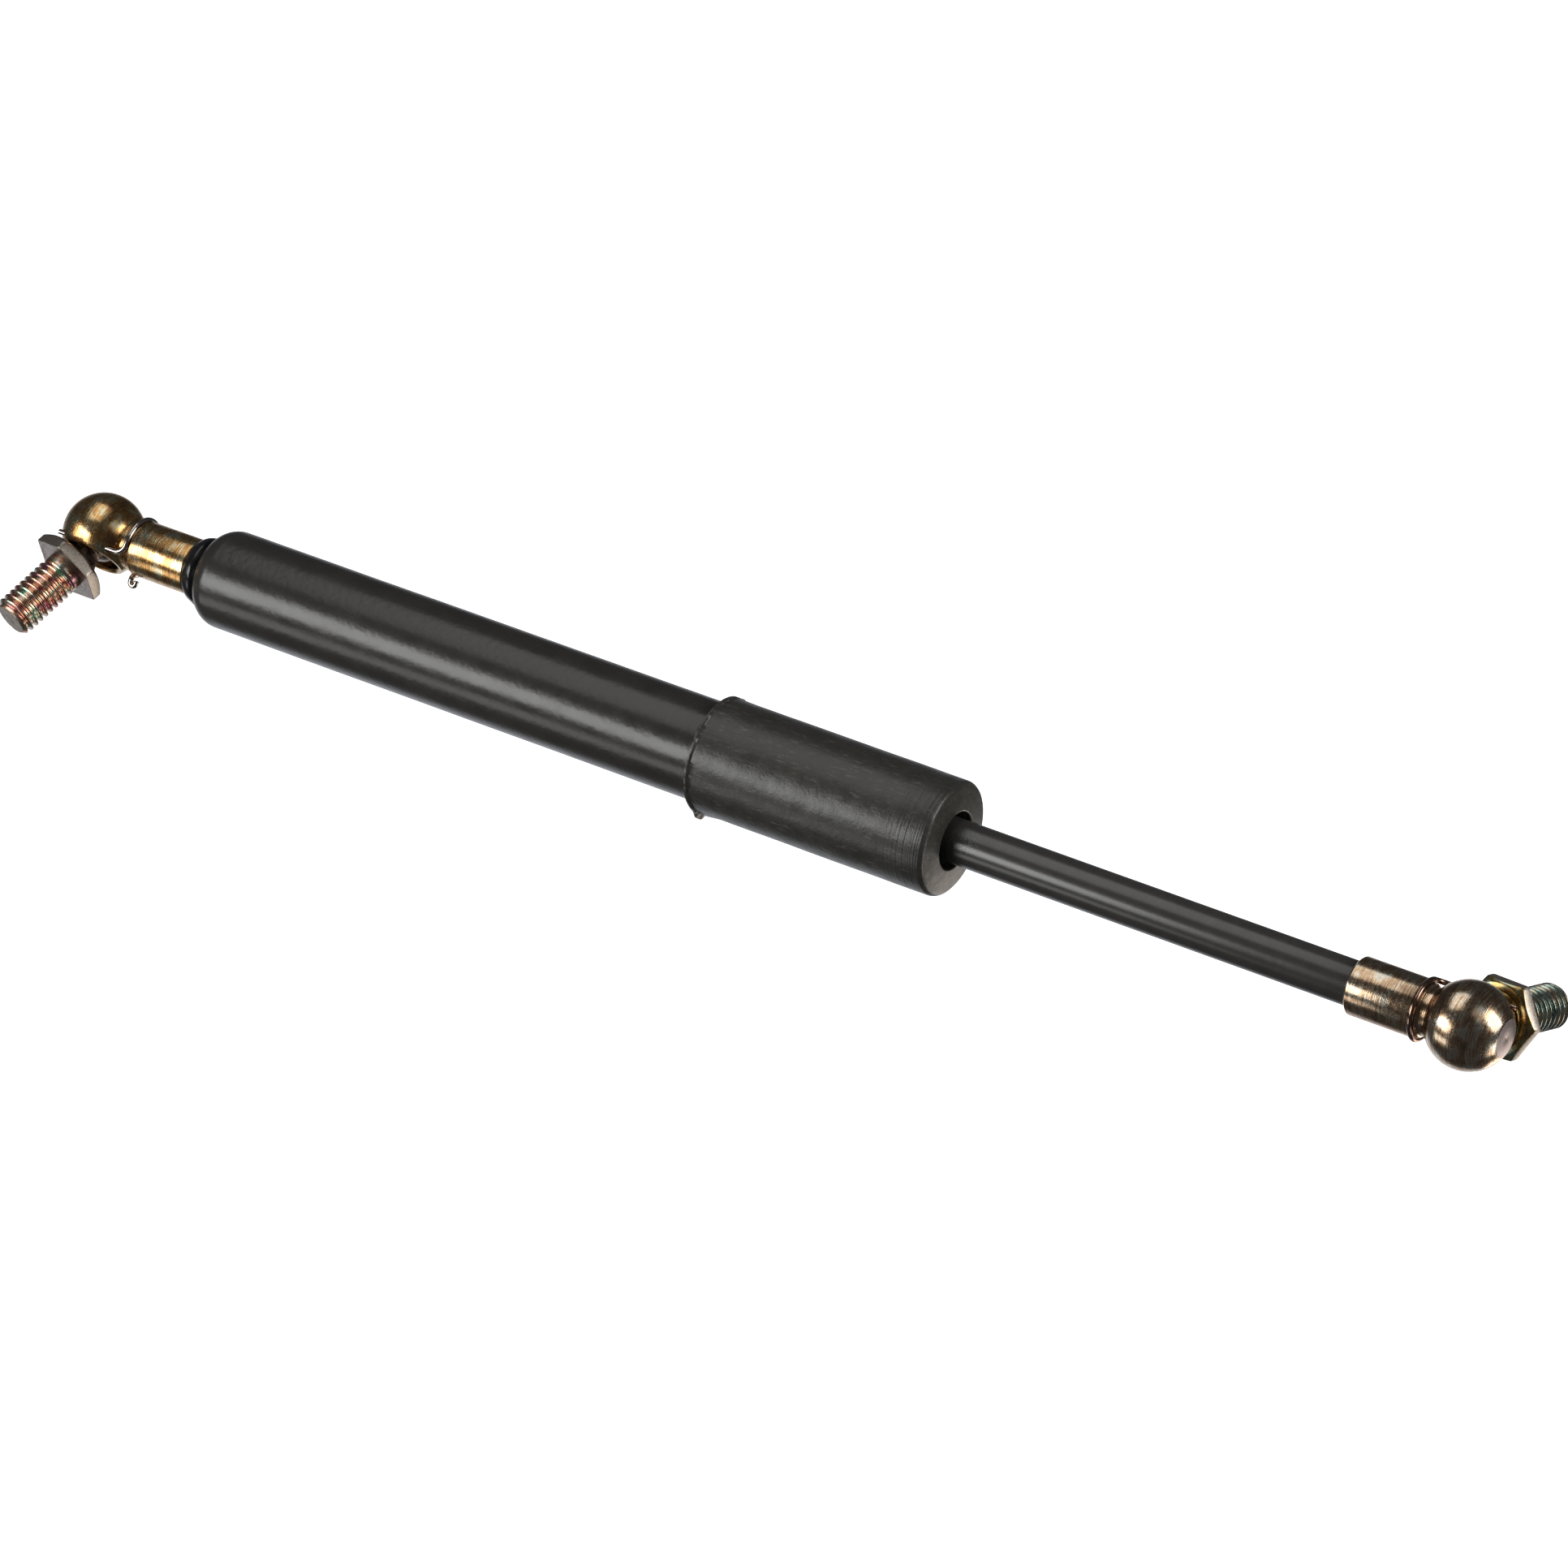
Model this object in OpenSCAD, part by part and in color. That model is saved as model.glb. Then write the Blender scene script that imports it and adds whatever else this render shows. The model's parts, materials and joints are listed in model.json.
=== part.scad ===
// Gas strut stay with a ball joint at each end, all sizes in millimetres.
// The strut's own axis is X: the origin is the centre of the tube-end ball, +X runs
// to the rod-end ball and +Z is up. The rod is drawn fully out.

/* [Strut] */
// Travel of the rod from fully out to fully in
stroke = 75; // [40:1:120]
// Length of the tube beyond the stroke, for the guide, the piston and the gas
tube_reserve = 80; // [72:1:110]
// Length of the rod that still shows when it is fully in
rod_spare = 4.3; // [2:0.1:20]
// Gap between the tube-end socket and the tube, where the stud and its ring show
end_gap = 3; // [2:0.1:4]

/* [Pressure tube] */
// Outer diameter of the tube
tube_d = 18.2; // [16:0.1:24]
// Wall thickness of the tube
tube_wall = 1.2; // [1:0.1:1.4]
// Thickness of the closed end
tube_floor = 2; // [1.5:0.1:3]
// Outer radius between the closed end and the wall
tube_corner_r = 4.6; // [3:0.1:5]
// How far the rim is rolled in over the end washer
rim_lip = 1.1; // [0.8:0.1:1.4]

/* [Rod and piston] */
// Diameter of the rod
rod_d = 8; // [6.5:0.1:9.6]
// Diameter of the turned-down end of the rod that carries the piston
tenon_d = 5; // [4:0.1:5.5]
// Length of the piston
piston_len = 8; // [7:0.5:10]
// Height of the riveted head that holds the piston on
rivet_h = 1.6; // [1.2:0.1:2.5]
// Thickness of the piston ring
ring_h = 1.6; // [1.2:0.1:2]

/* [Guide and seals] */
// Thickness of the steel washer under the rolled rim
end_washer_t = 1.5; // [1:0.1:2]
// Length of the guide block
guide_len = 8; // [7:0.5:10]
// Wall of the bush in the guide block
bush_wall = 0.6; // [0.5:0.1:0.8]
// Thickness of the washer between the seal and the guide block
seal_washer_t = 1; // [0.8:0.1:1.5]
// Length of the rod seal
seal_len = 5; // [4:0.5:6]
// Wire diameter of the ring that stops the seal from moving inwards
stop_wire = 1.2; // [1:0.1:1.4]

/* [Protective sleeve] */
// Length of the sleeve over the open end of the tube
sleeve_len = 49.2; // [35:0.2:60]
// Wall of the sleeve
sleeve_wall = 1.4; // [1:0.1:2]
// Thickness of the sleeve's end face
sleeve_face = 3; // [1.5:0.1:3.5]
// Hole in the sleeve's end face
sleeve_hole_d = 10.4; // [9:0.1:12.5]

/* [Ball joints] */
// Diameter of the balls
ball_d = 10; // [8:0.5:13]
// Wall of a socket's round head, around the ball
head_wall = 2.7; // [2:0.1:3.5]
// Distance from the ball's centre to the mouth of the socket, less the ball's radius
mouth_set = -0.2; // [-0.2:0.1:0.3]
// Diameter of the socket's shank
shank_d = 10.4; // [8.8:0.1:12.5]
// Length of the neck between the head and the shank, where the clip sits
neck_len = 2.9; // [2.2:0.1:4]
// Length of the socket's shank
shank_len = 12.3; // [11.5:0.1:16]
// Thread in the shank, outer diameter
shank_thread_d = 6; // [4:0.5:7]
// Depth of the threaded hole in the shank
shank_thread_len = 10.3; // [8:0.1:12]
// Depth of the neck below the shank's surface
neck_depth = 0.45; // [0.3:0.05:0.6]
// Wire diameter of the safety clips
clip_wire = 1; // [0.8:0.05:1.1]
// Thread of the ball studs, outer diameter
stud_thread_d = 8; // [5:0.5:10]
// Length of the ball studs' thread
stud_thread_len = 14; // [10:0.5:20]
// Width across the flats of the ball studs' hexagon
hex_af = 13; // [12:0.1:14]
// Length of the ball studs' neck, between the ball and the hexagon
stud_neck_len = 2.5; // [2.5:0.1:5]

/* [Pose of the ball joints] */
// How far the tube-end socket's mouth points below the level
tube_mouth_drop = 35; // [0:1:45]
// Heading of the tube-end stud, from +X towards +Y
tube_stud_heading = -104; // [-108:1:-88]
// How far the tube-end stud points below the level
tube_stud_drop = 21.4; // [20:0.1:44]
// How far the tube-end stud is turned about its own axis
tube_stud_turn = -13; // [-30:1:30]
// How far the rod-end socket's mouth points below the level
rod_mouth_drop = 18; // [0:1:45]
// Heading of the rod-end stud, from +X towards +Y
rod_stud_heading = 79; // [78:1:100]
// How far the rod-end stud points below the level
rod_stud_drop = 18; // [8:1:30]
// How far the rod-end stud is turned about its own axis
rod_stud_turn = 24; // [-30:1:30]

/* [Hidden] */
$fn = 64;

// clearances: a running fit, a push fit and a gap between pieces that only lie close
run_fit = 0.03;
push_fit = 0.02;
gap = 0.1;

paint_black = "#1d1d1f";
rod_black = "#2b2b2d";
passivated = "#a8854a";
bright_steel = "#b9bbbe";
seal_black = "#222222";
guide_brass = "#c8a24c";
plastic_grey = "#d9d6cc";

ball_r = ball_d / 2;
cup_r = ball_r + run_fit;
head_r = cup_r + head_wall;
shank_r = shank_d / 2;
neck_r = shank_r - neck_depth;
mouth_dist = ball_r + mouth_set;
neck_start = sqrt(head_r * head_r - neck_r * neck_r);
shank_start = neck_start + neck_len;
socket_len = shank_start + shank_len;

tube_r = tube_d / 2;
tube_len = stroke + tube_reserve;
bore_r = tube_r - tube_wall;
rod_r = rod_d / 2;
tube_start = socket_len + end_gap;
tube_end = tube_start + tube_len;
rim_t = tube_wall;
// how far the closed end has curved away where the locking ring's bore meets it
ring_seat_out = max(0, neck_r - tube_r + tube_corner_r);
ring_seat_x = tube_start + tube_corner_r - sqrt(pow(tube_corner_r, 2) - pow(ring_seat_out, 2));

// the guide and seals are stacked inwards from the rolled rim
end_washer_x = tube_end - rim_t - end_washer_t;
guide_x = end_washer_x - guide_len;
seal_washer_x = guide_x - seal_washer_t;
seal_x = seal_washer_x - seal_len;
stop_x = seal_x - stop_wire / 2 - push_fit;
stop_groove = 0.45;
bush_r = rod_r + run_fit + bush_wall;
o_ring_wire = 1.8;
o_ring_groove_r = bore_r - 1.5;

// the piston is stacked inwards from the shoulder of the rod
disc_t = 1.2;
orifice_t = 0.5;
rod_shoulder_x = stop_x - stop_wire / 2 - 1.3;
disc_x = rod_shoulder_x - disc_t;
piston_x = disc_x - piston_len;
orifice_x = piston_x - orifice_t;
washer_x = orifice_x - disc_t;
tenon_r = tenon_d / 2;
piston_r = bore_r - 0.09;
ring_side_gap = 0.05;
ring_depth = 1.5;
ring_x = piston_x + piston_len / 2 - ring_h / 2;
port_r = 0.6;
port_pitch_r = (tenon_r + piston_r - ring_depth) / 2;

// the welded stud's foot in the closed end, and the clearance past a socket's thread
weld_r = 3.6;
thread_gap = 0.6;

// the sleeve is pushed over the open end until its face meets the rolled rim
sleeve_end = tube_end + gap + sleeve_face;
sleeve_r = tube_r + push_fit + sleeve_wall;
sleeve_chamfer = 0.8;
socket_seat_x = sleeve_end + stroke + rod_spare;
rod_end_x = socket_seat_x + socket_len;

wire_r = clip_wire / 2;
// the clip's ring lies in the neck, and its leg runs under the ball, parallel to the shank
clip_ring_r = neck_r + push_fit + wire_r;
least_bend_r = 1.9 * clip_wire;
leg_r = max(cup_r + wire_r + gap, sqrt(clip_ring_r * clip_ring_r + least_bend_r * least_bend_r));
leg_bend_r = sqrt(leg_r * leg_r - clip_ring_r * clip_ring_r);
leg_lead = atan(leg_bend_r / clip_ring_r);
clip_leg_angle = 130;
clip_tail_angle = -153;
clip_x = shank_start - wire_r - gap;
leg_tip_x = -sqrt(head_r * head_r - leg_r * leg_r) - 0.75;
// a ball a little thicker than the wire joins each end of the clip's ring to the next bend
joint_r = wire_r + 0.02;
tail_bend_r = 0.8;
tail_rise = 0.4;
tail_fold_r = 0.6;
leg_hole_clear = 0.08;
facet_dist = head_r - 0.8;
mouth_chamfer = 0.5;
hex_r = hex_af / sqrt(3);
hex_t = 2.5;
hex_edge_t = 1.6;
hex_face_r = hex_af / 2 - 0.4;
hex_slope = (hex_r - hex_face_r) / (hex_t - hex_edge_t);
stud_reach = ball_r + stud_neck_len + hex_t;
stud_neck_r = 0.54 * ball_r;
stud_collar_r = hex_face_r - 1.2;
stud_root_r = stud_collar_r - 0.9;
thread_chamfer = 0.9;
shank_chamfer = 0.4;

// A shape turned about the strut's axis from points of [distance along X, radius]
module turned(points)
    rotate([90, 0, 90])
        rotate([0, 0, -90])
            rotate_extrude($fn = 96)
                polygon([for (p = points) [p[1], p[0]]]);

// A ring of round wire about the strut's axis
module wire_ring(x, ring_r, wire_r)
    translate([x, 0, 0])
        rotate([0, 90, 0])
            rotate_extrude($fn = 96)
                translate([ring_r, 0])
                    circle(r = wire_r, $fn = 32);

// A straight round hole or pin along X
module round_bar(x0, x1, r)
    translate([x0, 0, 0])
        rotate([0, 90, 0])
            cylinder(h = x1 - x0, r = r, $fn = 64);

// Points of a quarter arc about [cx, cr], from angle a0 to a1
function arc(cx, cr, r, a0, a1, steps = 10) =
    let (turn = (a1 - a0) / steps)
    [for (i = [0:steps]) [cx + r * cos(a0 + turn * i), cr + r * sin(a0 + turn * i)]];

module place_tube_end()
    rotate([tube_mouth_drop, 0, 0])
        children();

module place_rod_end()
    translate([rod_end_x, 0, 0])
        rotate([-rod_mouth_drop, 0, 0])
            rotate([0, 0, 180])
                children();

module place_stud(x, heading, drop, turn)
    translate([x, 0, 0])
        rotate([0, drop, heading])
            rotate([turn, 0, 0])
                children();

module pressure_tube() {
    inner_r = tube_corner_r - tube_wall;
    color(paint_black)
        difference() {
            turned(concat(
                [[tube_start, 0]],
                arc(tube_start + tube_corner_r, tube_r - tube_corner_r, tube_corner_r, 180, 90),
                [[tube_end - 0.8, tube_r]],
                [[tube_end, tube_r - 0.8]],
                [[tube_end, bore_r - rim_lip]],
                [[tube_end - rim_t, bore_r - rim_lip]],
                [[tube_end - rim_t, bore_r]],
                arc(tube_start + tube_floor + inner_r, bore_r - inner_r, inner_r, 90, 180),
                [[tube_start + tube_floor, 0]]
            ));
            round_bar(tube_start - 1, tube_start + tube_floor + 1, weld_r + push_fit);
            wire_ring(stop_x, bore_r + stop_groove - stop_wire / 2, stop_wire / 2 + push_fit);
        }
}

// The stud is welded through the closed end and carries the socket
module tube_end_stud()
    color(bright_steel) {
        thread_r = shank_thread_d / 2 - push_fit;
        turned([
            [socket_len - shank_thread_len + thread_gap, 0],
            [socket_len - shank_thread_len + thread_gap, thread_r - 0.6],
            [socket_len - shank_thread_len + thread_gap + 0.6, thread_r],
            [socket_len + push_fit, thread_r],
            [socket_len + push_fit, neck_r - 0.3],
            [tube_start - push_fit, neck_r - 0.3],
            [tube_start - push_fit, weld_r],
            [tube_start + tube_floor + 0.4, weld_r],
            [tube_start + tube_floor + 0.4, 0]
        ]);
    }

// The black ring squeezed between the socket and the tube
module locking_ring() {
    ring_top = shank_r + 0.95;
    ring_x0 = socket_len + push_fit;
    color(seal_black)
        turned(concat(
            [[ring_x0, neck_r]],
            arc(ring_x0 + 0.6, ring_top - 0.9, 0.6, 180, 120, 5),
            arc((ring_x0 + ring_seat_x) / 2, ring_top - 1.4, 1.4, 115, 65, 8),
            arc(ring_seat_x - 0.6, ring_top - 0.9, 0.58, 60, 0, 5),
            [[ring_seat_x - push_fit, neck_r]]
        ));
}

module stop_ring()
    color(bright_steel)
        wire_ring(stop_x, bore_r + stop_groove - stop_wire / 2, stop_wire / 2);

module rod_seal() {
    lip_r = rod_r + run_fit;
    heel_r = rod_r + 0.6;
    out_r = bore_r - push_fit;
    color(seal_black)
        turned([
            [seal_x, lip_r],
            [seal_x, lip_r + 1],
            [seal_x + 2, lip_r + 1.6],
            [seal_x + 2, out_r - 1.2],
            [seal_x, out_r - 0.8],
            [seal_x, out_r],
            [seal_washer_x - push_fit, out_r],
            [seal_washer_x - push_fit, lip_r],
            [seal_washer_x - 0.8, lip_r],
            [seal_washer_x - 1.3, heel_r],
            [seal_x + 1.4, heel_r],
            [seal_x + 0.8, lip_r]
        ]);
}

// A flat washer about the strut's axis
module flat_washer(x, thickness, hole_r, out_r)
    turned([[x, hole_r], [x, out_r], [x + thickness, out_r], [x + thickness, hole_r]]);

module seal_washer()
    color(plastic_grey)
        flat_washer(seal_washer_x, seal_washer_t - push_fit, rod_r + gap, bore_r - push_fit);

module rod_guide() {
    groove_x = guide_x + guide_len / 2;
    groove_w = o_ring_wire / 2 + 0.1;
    out_r = bore_r - push_fit;
    color(guide_brass)
        turned([
            [guide_x, bush_r],
            [guide_x, out_r - 0.4],
            [guide_x + 0.4, out_r],
            [groove_x - groove_w, out_r],
            [groove_x - groove_w, o_ring_groove_r],
            [groove_x + groove_w, o_ring_groove_r],
            [groove_x + groove_w, out_r],
            [end_washer_x - push_fit, out_r],
            [end_washer_x - push_fit, bush_r]
        ]);
}

module guide_bush()
    color(bright_steel)
        flat_washer(guide_x + 0.3, guide_len - 0.6, rod_r + run_fit, bush_r - push_fit);

// The ring is drawn as squeezed: an oval section between the groove and the tube
module guide_o_ring() {
    low_r = o_ring_groove_r + push_fit;
    high_r = bore_r - push_fit;
    mid_r = (low_r + high_r) / 2;
    side = (high_r - low_r) / 2;
    flat = o_ring_wire / 2 - side;
    groove_x = guide_x + guide_len / 2;
    color(seal_black)
        turned(concat(
            arc(groove_x - flat, mid_r, side, 270, 90, 12),
            arc(groove_x + flat, mid_r, side, 90, -90, 12)
        ));
}

module end_washer()
    color(bright_steel)
        flat_washer(end_washer_x, end_washer_t - push_fit, rod_r + gap, bore_r - push_fit);

// The sleeve has a thin raised lip where it starts and a flat face with a hole for the rod
module protective_sleeve() {
    sleeve_x = sleeve_end - sleeve_len;
    in_r = tube_r + push_fit;
    color(seal_black)
        turned([
            [sleeve_x, in_r],
            [sleeve_x, sleeve_r - 0.3],
            [sleeve_x + 0.3, sleeve_r],
            [sleeve_end - sleeve_chamfer, sleeve_r],
            [sleeve_end, sleeve_r - sleeve_chamfer],
            [sleeve_end, sleeve_hole_d / 2],
            [tube_end + gap, sleeve_hole_d / 2],
            [tube_end + gap, in_r]
        ]);
}

module piston_rod() {
    rivet_r = tenon_r + 1;
    thread_r = shank_thread_d / 2 - push_fit;
    thread_end = socket_seat_x + shank_thread_len - thread_gap;
    color(rod_black)
        turned(concat(
            [[washer_x - rivet_h, 0]],
            [[washer_x - rivet_h, rivet_r - 0.8]],
            [[washer_x - rivet_h + 0.8, rivet_r]],
            [[washer_x - push_fit, rivet_r]],
            [[washer_x - push_fit, tenon_r]],
            [[rod_shoulder_x, tenon_r]],
            [[rod_shoulder_x, rod_r - 0.4]],
            [[rod_shoulder_x + 0.4, rod_r]],
            [[socket_seat_x - push_fit, rod_r]],
            [[socket_seat_x - push_fit, thread_r]],
            [[thread_end - 0.6, thread_r]],
            [[thread_end, thread_r - 0.6]],
            [[thread_end, 0]]
        ));
}

module stop_disc()
    color(bright_steel)
        flat_washer(disc_x, disc_t - push_fit, tenon_r + push_fit, bore_r - 1.6);

// The piston has a groove for its ring and flow ports that the thin disc partly covers
module piston() {
    groove_r = piston_r - ring_depth - ring_side_gap;
    color(guide_brass)
        difference() {
            turned([
                [piston_x, tenon_r + push_fit],
                [piston_x, piston_r - 0.4],
                [piston_x + 0.4, piston_r],
                [ring_x - ring_side_gap, piston_r],
                [ring_x - ring_side_gap, groove_r],
                [ring_x + ring_h + ring_side_gap, groove_r],
                [ring_x + ring_h + ring_side_gap, piston_r],
                [disc_x - push_fit - 0.4, piston_r],
                [disc_x - push_fit, piston_r - 0.4],
                [disc_x - push_fit, tenon_r + push_fit]
            ]);
            for (a = [0:90:270])
                rotate([a, 0, 0])
                    translate([0, 0, port_pitch_r])
                        round_bar(piston_x - 1, disc_x + 1, port_r);
        }
}

module piston_ring()
    color(seal_black)
        flat_washer(ring_x, ring_h, piston_r - ring_depth + gap / 4, bore_r - run_fit);

module orifice_disc()
    color(bright_steel)
        flat_washer(orifice_x, orifice_t - push_fit, tenon_r + push_fit, port_pitch_r + 0.2);

module piston_washer()
    color(bright_steel)
        flat_washer(washer_x, disc_t - push_fit, tenon_r + push_fit, tenon_r + 1.8);

// The outline of a socket: its round head with a flat on the far side, its neck and its shank
module socket_outline() {
    intersection() {
        circle(r = head_r, $fn = 96);
        translate([0, -facet_dist])
            square([head_r, facet_dist + head_r]);
    }
    square([neck_r, shank_start]);
    translate([0, shank_start - 0.2])
        square([neck_r, 1]);
    polygon([
        [0, shank_start],
        [shank_r, shank_start],
        [shank_r, socket_len - shank_chamfer],
        [shank_r - shank_chamfer, socket_len],
        [0, socket_len]
    ]);
}

// The outline of the hollow that takes the ball, open towards the mouth
module cup_outline() {
    intersection() {
        circle(r = cup_r, $fn = 96);
        translate([0, -cup_r])
            square([cup_r, 2 * cup_r]);
    }
    square([cup_r, mouth_dist + 1]);
    polygon([
        [0, mouth_dist - mouth_chamfer],
        [cup_r, mouth_dist - mouth_chamfer],
        [cup_r + mouth_chamfer + 1, mouth_dist + 1],
        [0, mouth_dist + 1]
    ]);
}

// A socket about its ball's centre: shank along +X, mouth towards -Y
module ball_socket()
    color(passivated)
        difference() {
            rotate([90, 0, 90])
                rotate_extrude($fn = 96)
                    socket_outline();
            translate([-2 * head_r, -2 * head_r - mouth_dist, -head_r])
                cube([2 * head_r + neck_start + 0.5, 2 * head_r, 2 * head_r]);
            rotate([90, 0, 0])
                rotate_extrude($fn = 96)
                    cup_outline();
            round_bar(socket_len - shank_thread_len, socket_len + 1, shank_thread_d / 2);
            rotate([clip_leg_angle, 0, 0])
                translate([0, leg_r, 0])
                    round_bar(-head_r, head_r, wire_r + leg_hole_clear);
        }

module tube_end_socket()
    place_tube_end()
        ball_socket();

module rod_end_socket()
    place_rod_end()
        ball_socket();

// A bend in the clip's wire, turned from +X towards +Y about the bend's centre
module wire_arc(bend_r, angle)
    rotate_extrude(angle = angle, $fn = 96)
        translate([bend_r, 0])
            circle(r = wire_r, $fn = 32);

// The safety clip: an open ring in the socket's neck, a leg under the ball and a folded tail
module safety_clip() {
    ring_end = clip_leg_angle - leg_lead;
    color(passivated) {
        translate([clip_x, 0, 0])
            rotate([90, 0, 90])
                rotate([0, 0, clip_tail_angle])
                    wire_arc(clip_ring_r, ring_end - clip_tail_angle);
        rotate([ring_end, 0, 0])
            clip_leg();
        rotate([clip_tail_angle, 0, 0])
            clip_tail();
        for (a = [ring_end, clip_tail_angle])
            rotate([a, 0, 0])
                translate([clip_x, clip_ring_r, 0])
                    sphere(r = joint_r, $fn = 32);
    }
}

// The leg leaves the ring square to it and runs back through the head
module clip_leg() {
    translate([clip_x - leg_bend_r, clip_ring_r, 0])
        rotate([90, 0, 0])
            wire_arc(leg_bend_r, 90);
    translate([0, clip_ring_r, leg_bend_r])
        round_bar(leg_tip_x, clip_x - leg_bend_r, wire_r);
}

// The tail turns outwards from the ring and folds back, so that a tool can lift the clip
module clip_tail() {
    foot_r = clip_ring_r + tail_bend_r;
    translate([clip_x, foot_r, 0])
        rotate([90, 0, 90])
            rotate([0, 0, 180])
                wire_arc(tail_bend_r, 90);
    translate([clip_x, foot_r, -tail_bend_r])
        rotate([-90, 0, 0])
            cylinder(h = tail_rise, r = wire_r, $fn = 32);
    translate([clip_x + tail_fold_r, foot_r + tail_rise, -tail_bend_r])
        wire_arc(tail_fold_r, 180);
    translate([clip_x + 2 * tail_fold_r, foot_r, -tail_bend_r])
        rotate([-90, 0, 0])
            cylinder(h = tail_rise, r = wire_r, $fn = 32);
}

module tube_end_clip()
    place_tube_end()
        safety_clip();

module rod_end_clip()
    place_rod_end()
        safety_clip();

// The outline of a ball stud's turned core: ball, neck, collar and thread
module stud_outline() {
    thread_r = stud_thread_d / 2;
    tip_x = stud_reach + stud_thread_len;
    face_x = stud_reach - hex_t;
    waist_x = ball_r - 0.4;
    intersection() {
        circle(r = ball_r, $fn = 96);
        translate([0, -ball_r])
            square([ball_r, 2 * ball_r]);
    }
    polygon([
        [0, 0],
        [stud_neck_r, 0],
        [stud_neck_r, waist_x],
        [stud_root_r, face_x - 0.6],
        [stud_collar_r, face_x - 0.4],
        [stud_collar_r, face_x + 0.5],
        [thread_r, face_x + 0.5],
        [thread_r, tip_x - thread_chamfer],
        [thread_r - thread_chamfer, tip_x],
        [0, tip_x]
    ]);
}

// The stud's hexagon, with its corners chamfered on the ball's side
module stud_hexagon() {
    face_x = stud_reach - hex_t;
    intersection() {
        translate([face_x, 0, 0])
            rotate([0, 90, 0])
                cylinder(h = hex_t, r = hex_r, $fn = 6);
        turned([
            [face_x - 1, 0],
            [face_x - 1, hex_face_r - hex_slope],
            [stud_reach + 1, hex_face_r + hex_slope * (hex_t + 1)],
            [stud_reach + 1, 0]
        ]);
    }
}

// A ball stud about its ball's centre: the thread points along +X
module ball_stud()
    color(passivated)
        union() {
            rotate([90, 0, 90])
                rotate_extrude($fn = 96)
                    stud_outline();
            stud_hexagon();
        }

module tube_end_ball_stud()
    place_stud(0, tube_stud_heading, tube_stud_drop, tube_stud_turn)
        ball_stud();

module rod_end_ball_stud()
    place_stud(rod_end_x, rod_stud_heading, rod_stud_drop, rod_stud_turn)
        ball_stud();

pressure_tube();
tube_end_stud();
locking_ring();
stop_ring();
rod_seal();
seal_washer();
rod_guide();
guide_bush();
guide_o_ring();
end_washer();
protective_sleeve();
piston_rod();
stop_disc();
piston();
piston_ring();
orifice_disc();
piston_washer();
tube_end_socket();
tube_end_clip();
tube_end_ball_stud();
rod_end_socket();
rod_end_clip();
rod_end_ball_stud();
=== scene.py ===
# %% [markdown]
# # A gas strut stay, built and finished piece by piece
#
# A gas strut is a sealed steel tube filled with pressed gas, and a polished rod slides out of it. A ball
# joint at each end lets it swing while it holds a lid or a window open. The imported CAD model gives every
# place and size. Each lesson below takes one real piece, says how it was made, and then builds the shape
# and the finish that the maker's tools would have left.

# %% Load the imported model
import json
import math

import bmesh
import bpy
from mathutils import Matrix, Vector, noise


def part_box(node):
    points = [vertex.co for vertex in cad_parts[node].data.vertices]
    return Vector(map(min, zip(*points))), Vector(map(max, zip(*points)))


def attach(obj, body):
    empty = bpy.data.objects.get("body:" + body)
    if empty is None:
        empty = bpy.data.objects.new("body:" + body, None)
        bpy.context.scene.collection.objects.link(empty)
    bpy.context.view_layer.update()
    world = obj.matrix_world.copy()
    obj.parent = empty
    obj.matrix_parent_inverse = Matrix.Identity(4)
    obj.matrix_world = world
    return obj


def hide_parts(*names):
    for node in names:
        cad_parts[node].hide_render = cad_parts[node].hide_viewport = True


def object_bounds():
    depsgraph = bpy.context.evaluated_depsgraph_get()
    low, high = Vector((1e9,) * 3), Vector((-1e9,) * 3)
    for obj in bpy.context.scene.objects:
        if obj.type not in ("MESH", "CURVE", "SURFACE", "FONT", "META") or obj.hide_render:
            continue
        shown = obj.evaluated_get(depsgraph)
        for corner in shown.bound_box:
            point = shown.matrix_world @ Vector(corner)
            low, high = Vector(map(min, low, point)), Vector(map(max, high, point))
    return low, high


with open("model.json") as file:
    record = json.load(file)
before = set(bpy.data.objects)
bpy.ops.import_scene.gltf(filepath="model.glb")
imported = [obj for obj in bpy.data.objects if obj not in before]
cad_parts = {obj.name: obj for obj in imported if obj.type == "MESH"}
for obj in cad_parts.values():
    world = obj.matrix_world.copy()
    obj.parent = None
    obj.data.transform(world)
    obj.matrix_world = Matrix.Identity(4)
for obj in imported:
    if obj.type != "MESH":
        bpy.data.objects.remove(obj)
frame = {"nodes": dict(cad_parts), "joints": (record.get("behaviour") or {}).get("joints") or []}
cad_low, cad_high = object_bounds()
print("CAD nodes:", len(frame["nodes"]))

# %% [markdown]
# ## Sizes from the frame
#
# A maker reads sizes off the drawing once and works from them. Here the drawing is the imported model, so
# each piece starts from the box of its own CAD node. A wall or a hole can't be read from a box, so the
# cells below repeat the CAD's own value for those. Blender works in metres, but a maker thinks in
# millimetres, so the outlines below are in millimetres and one scale turns them to metres.

# %% Read the sizes in millimetres
MM = 0.001


def box_mm(node):
    """The lowest and highest corner of a CAD node, in millimetres."""
    low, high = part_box(node)
    return Vector(low) / MM, Vector(high) / MM


tube_low, tube_high = box_mm("pressure_tube")
sleeve_low, sleeve_high = box_mm("protective_sleeve")
ring_low, ring_high = box_mm("locking_ring")
rod_low, rod_high = box_mm("piston_rod")
socket_low, socket_high = box_mm("tube_end_socket")
tube_radius, sleeve_radius, rod_radius = tube_high.z, sleeve_high.z, rod_high.z
print(f"tube {2 * tube_radius:.1f} mm across, sleeve {2 * sleeve_radius:.1f}, rod {2 * rod_radius:.1f}")

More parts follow.
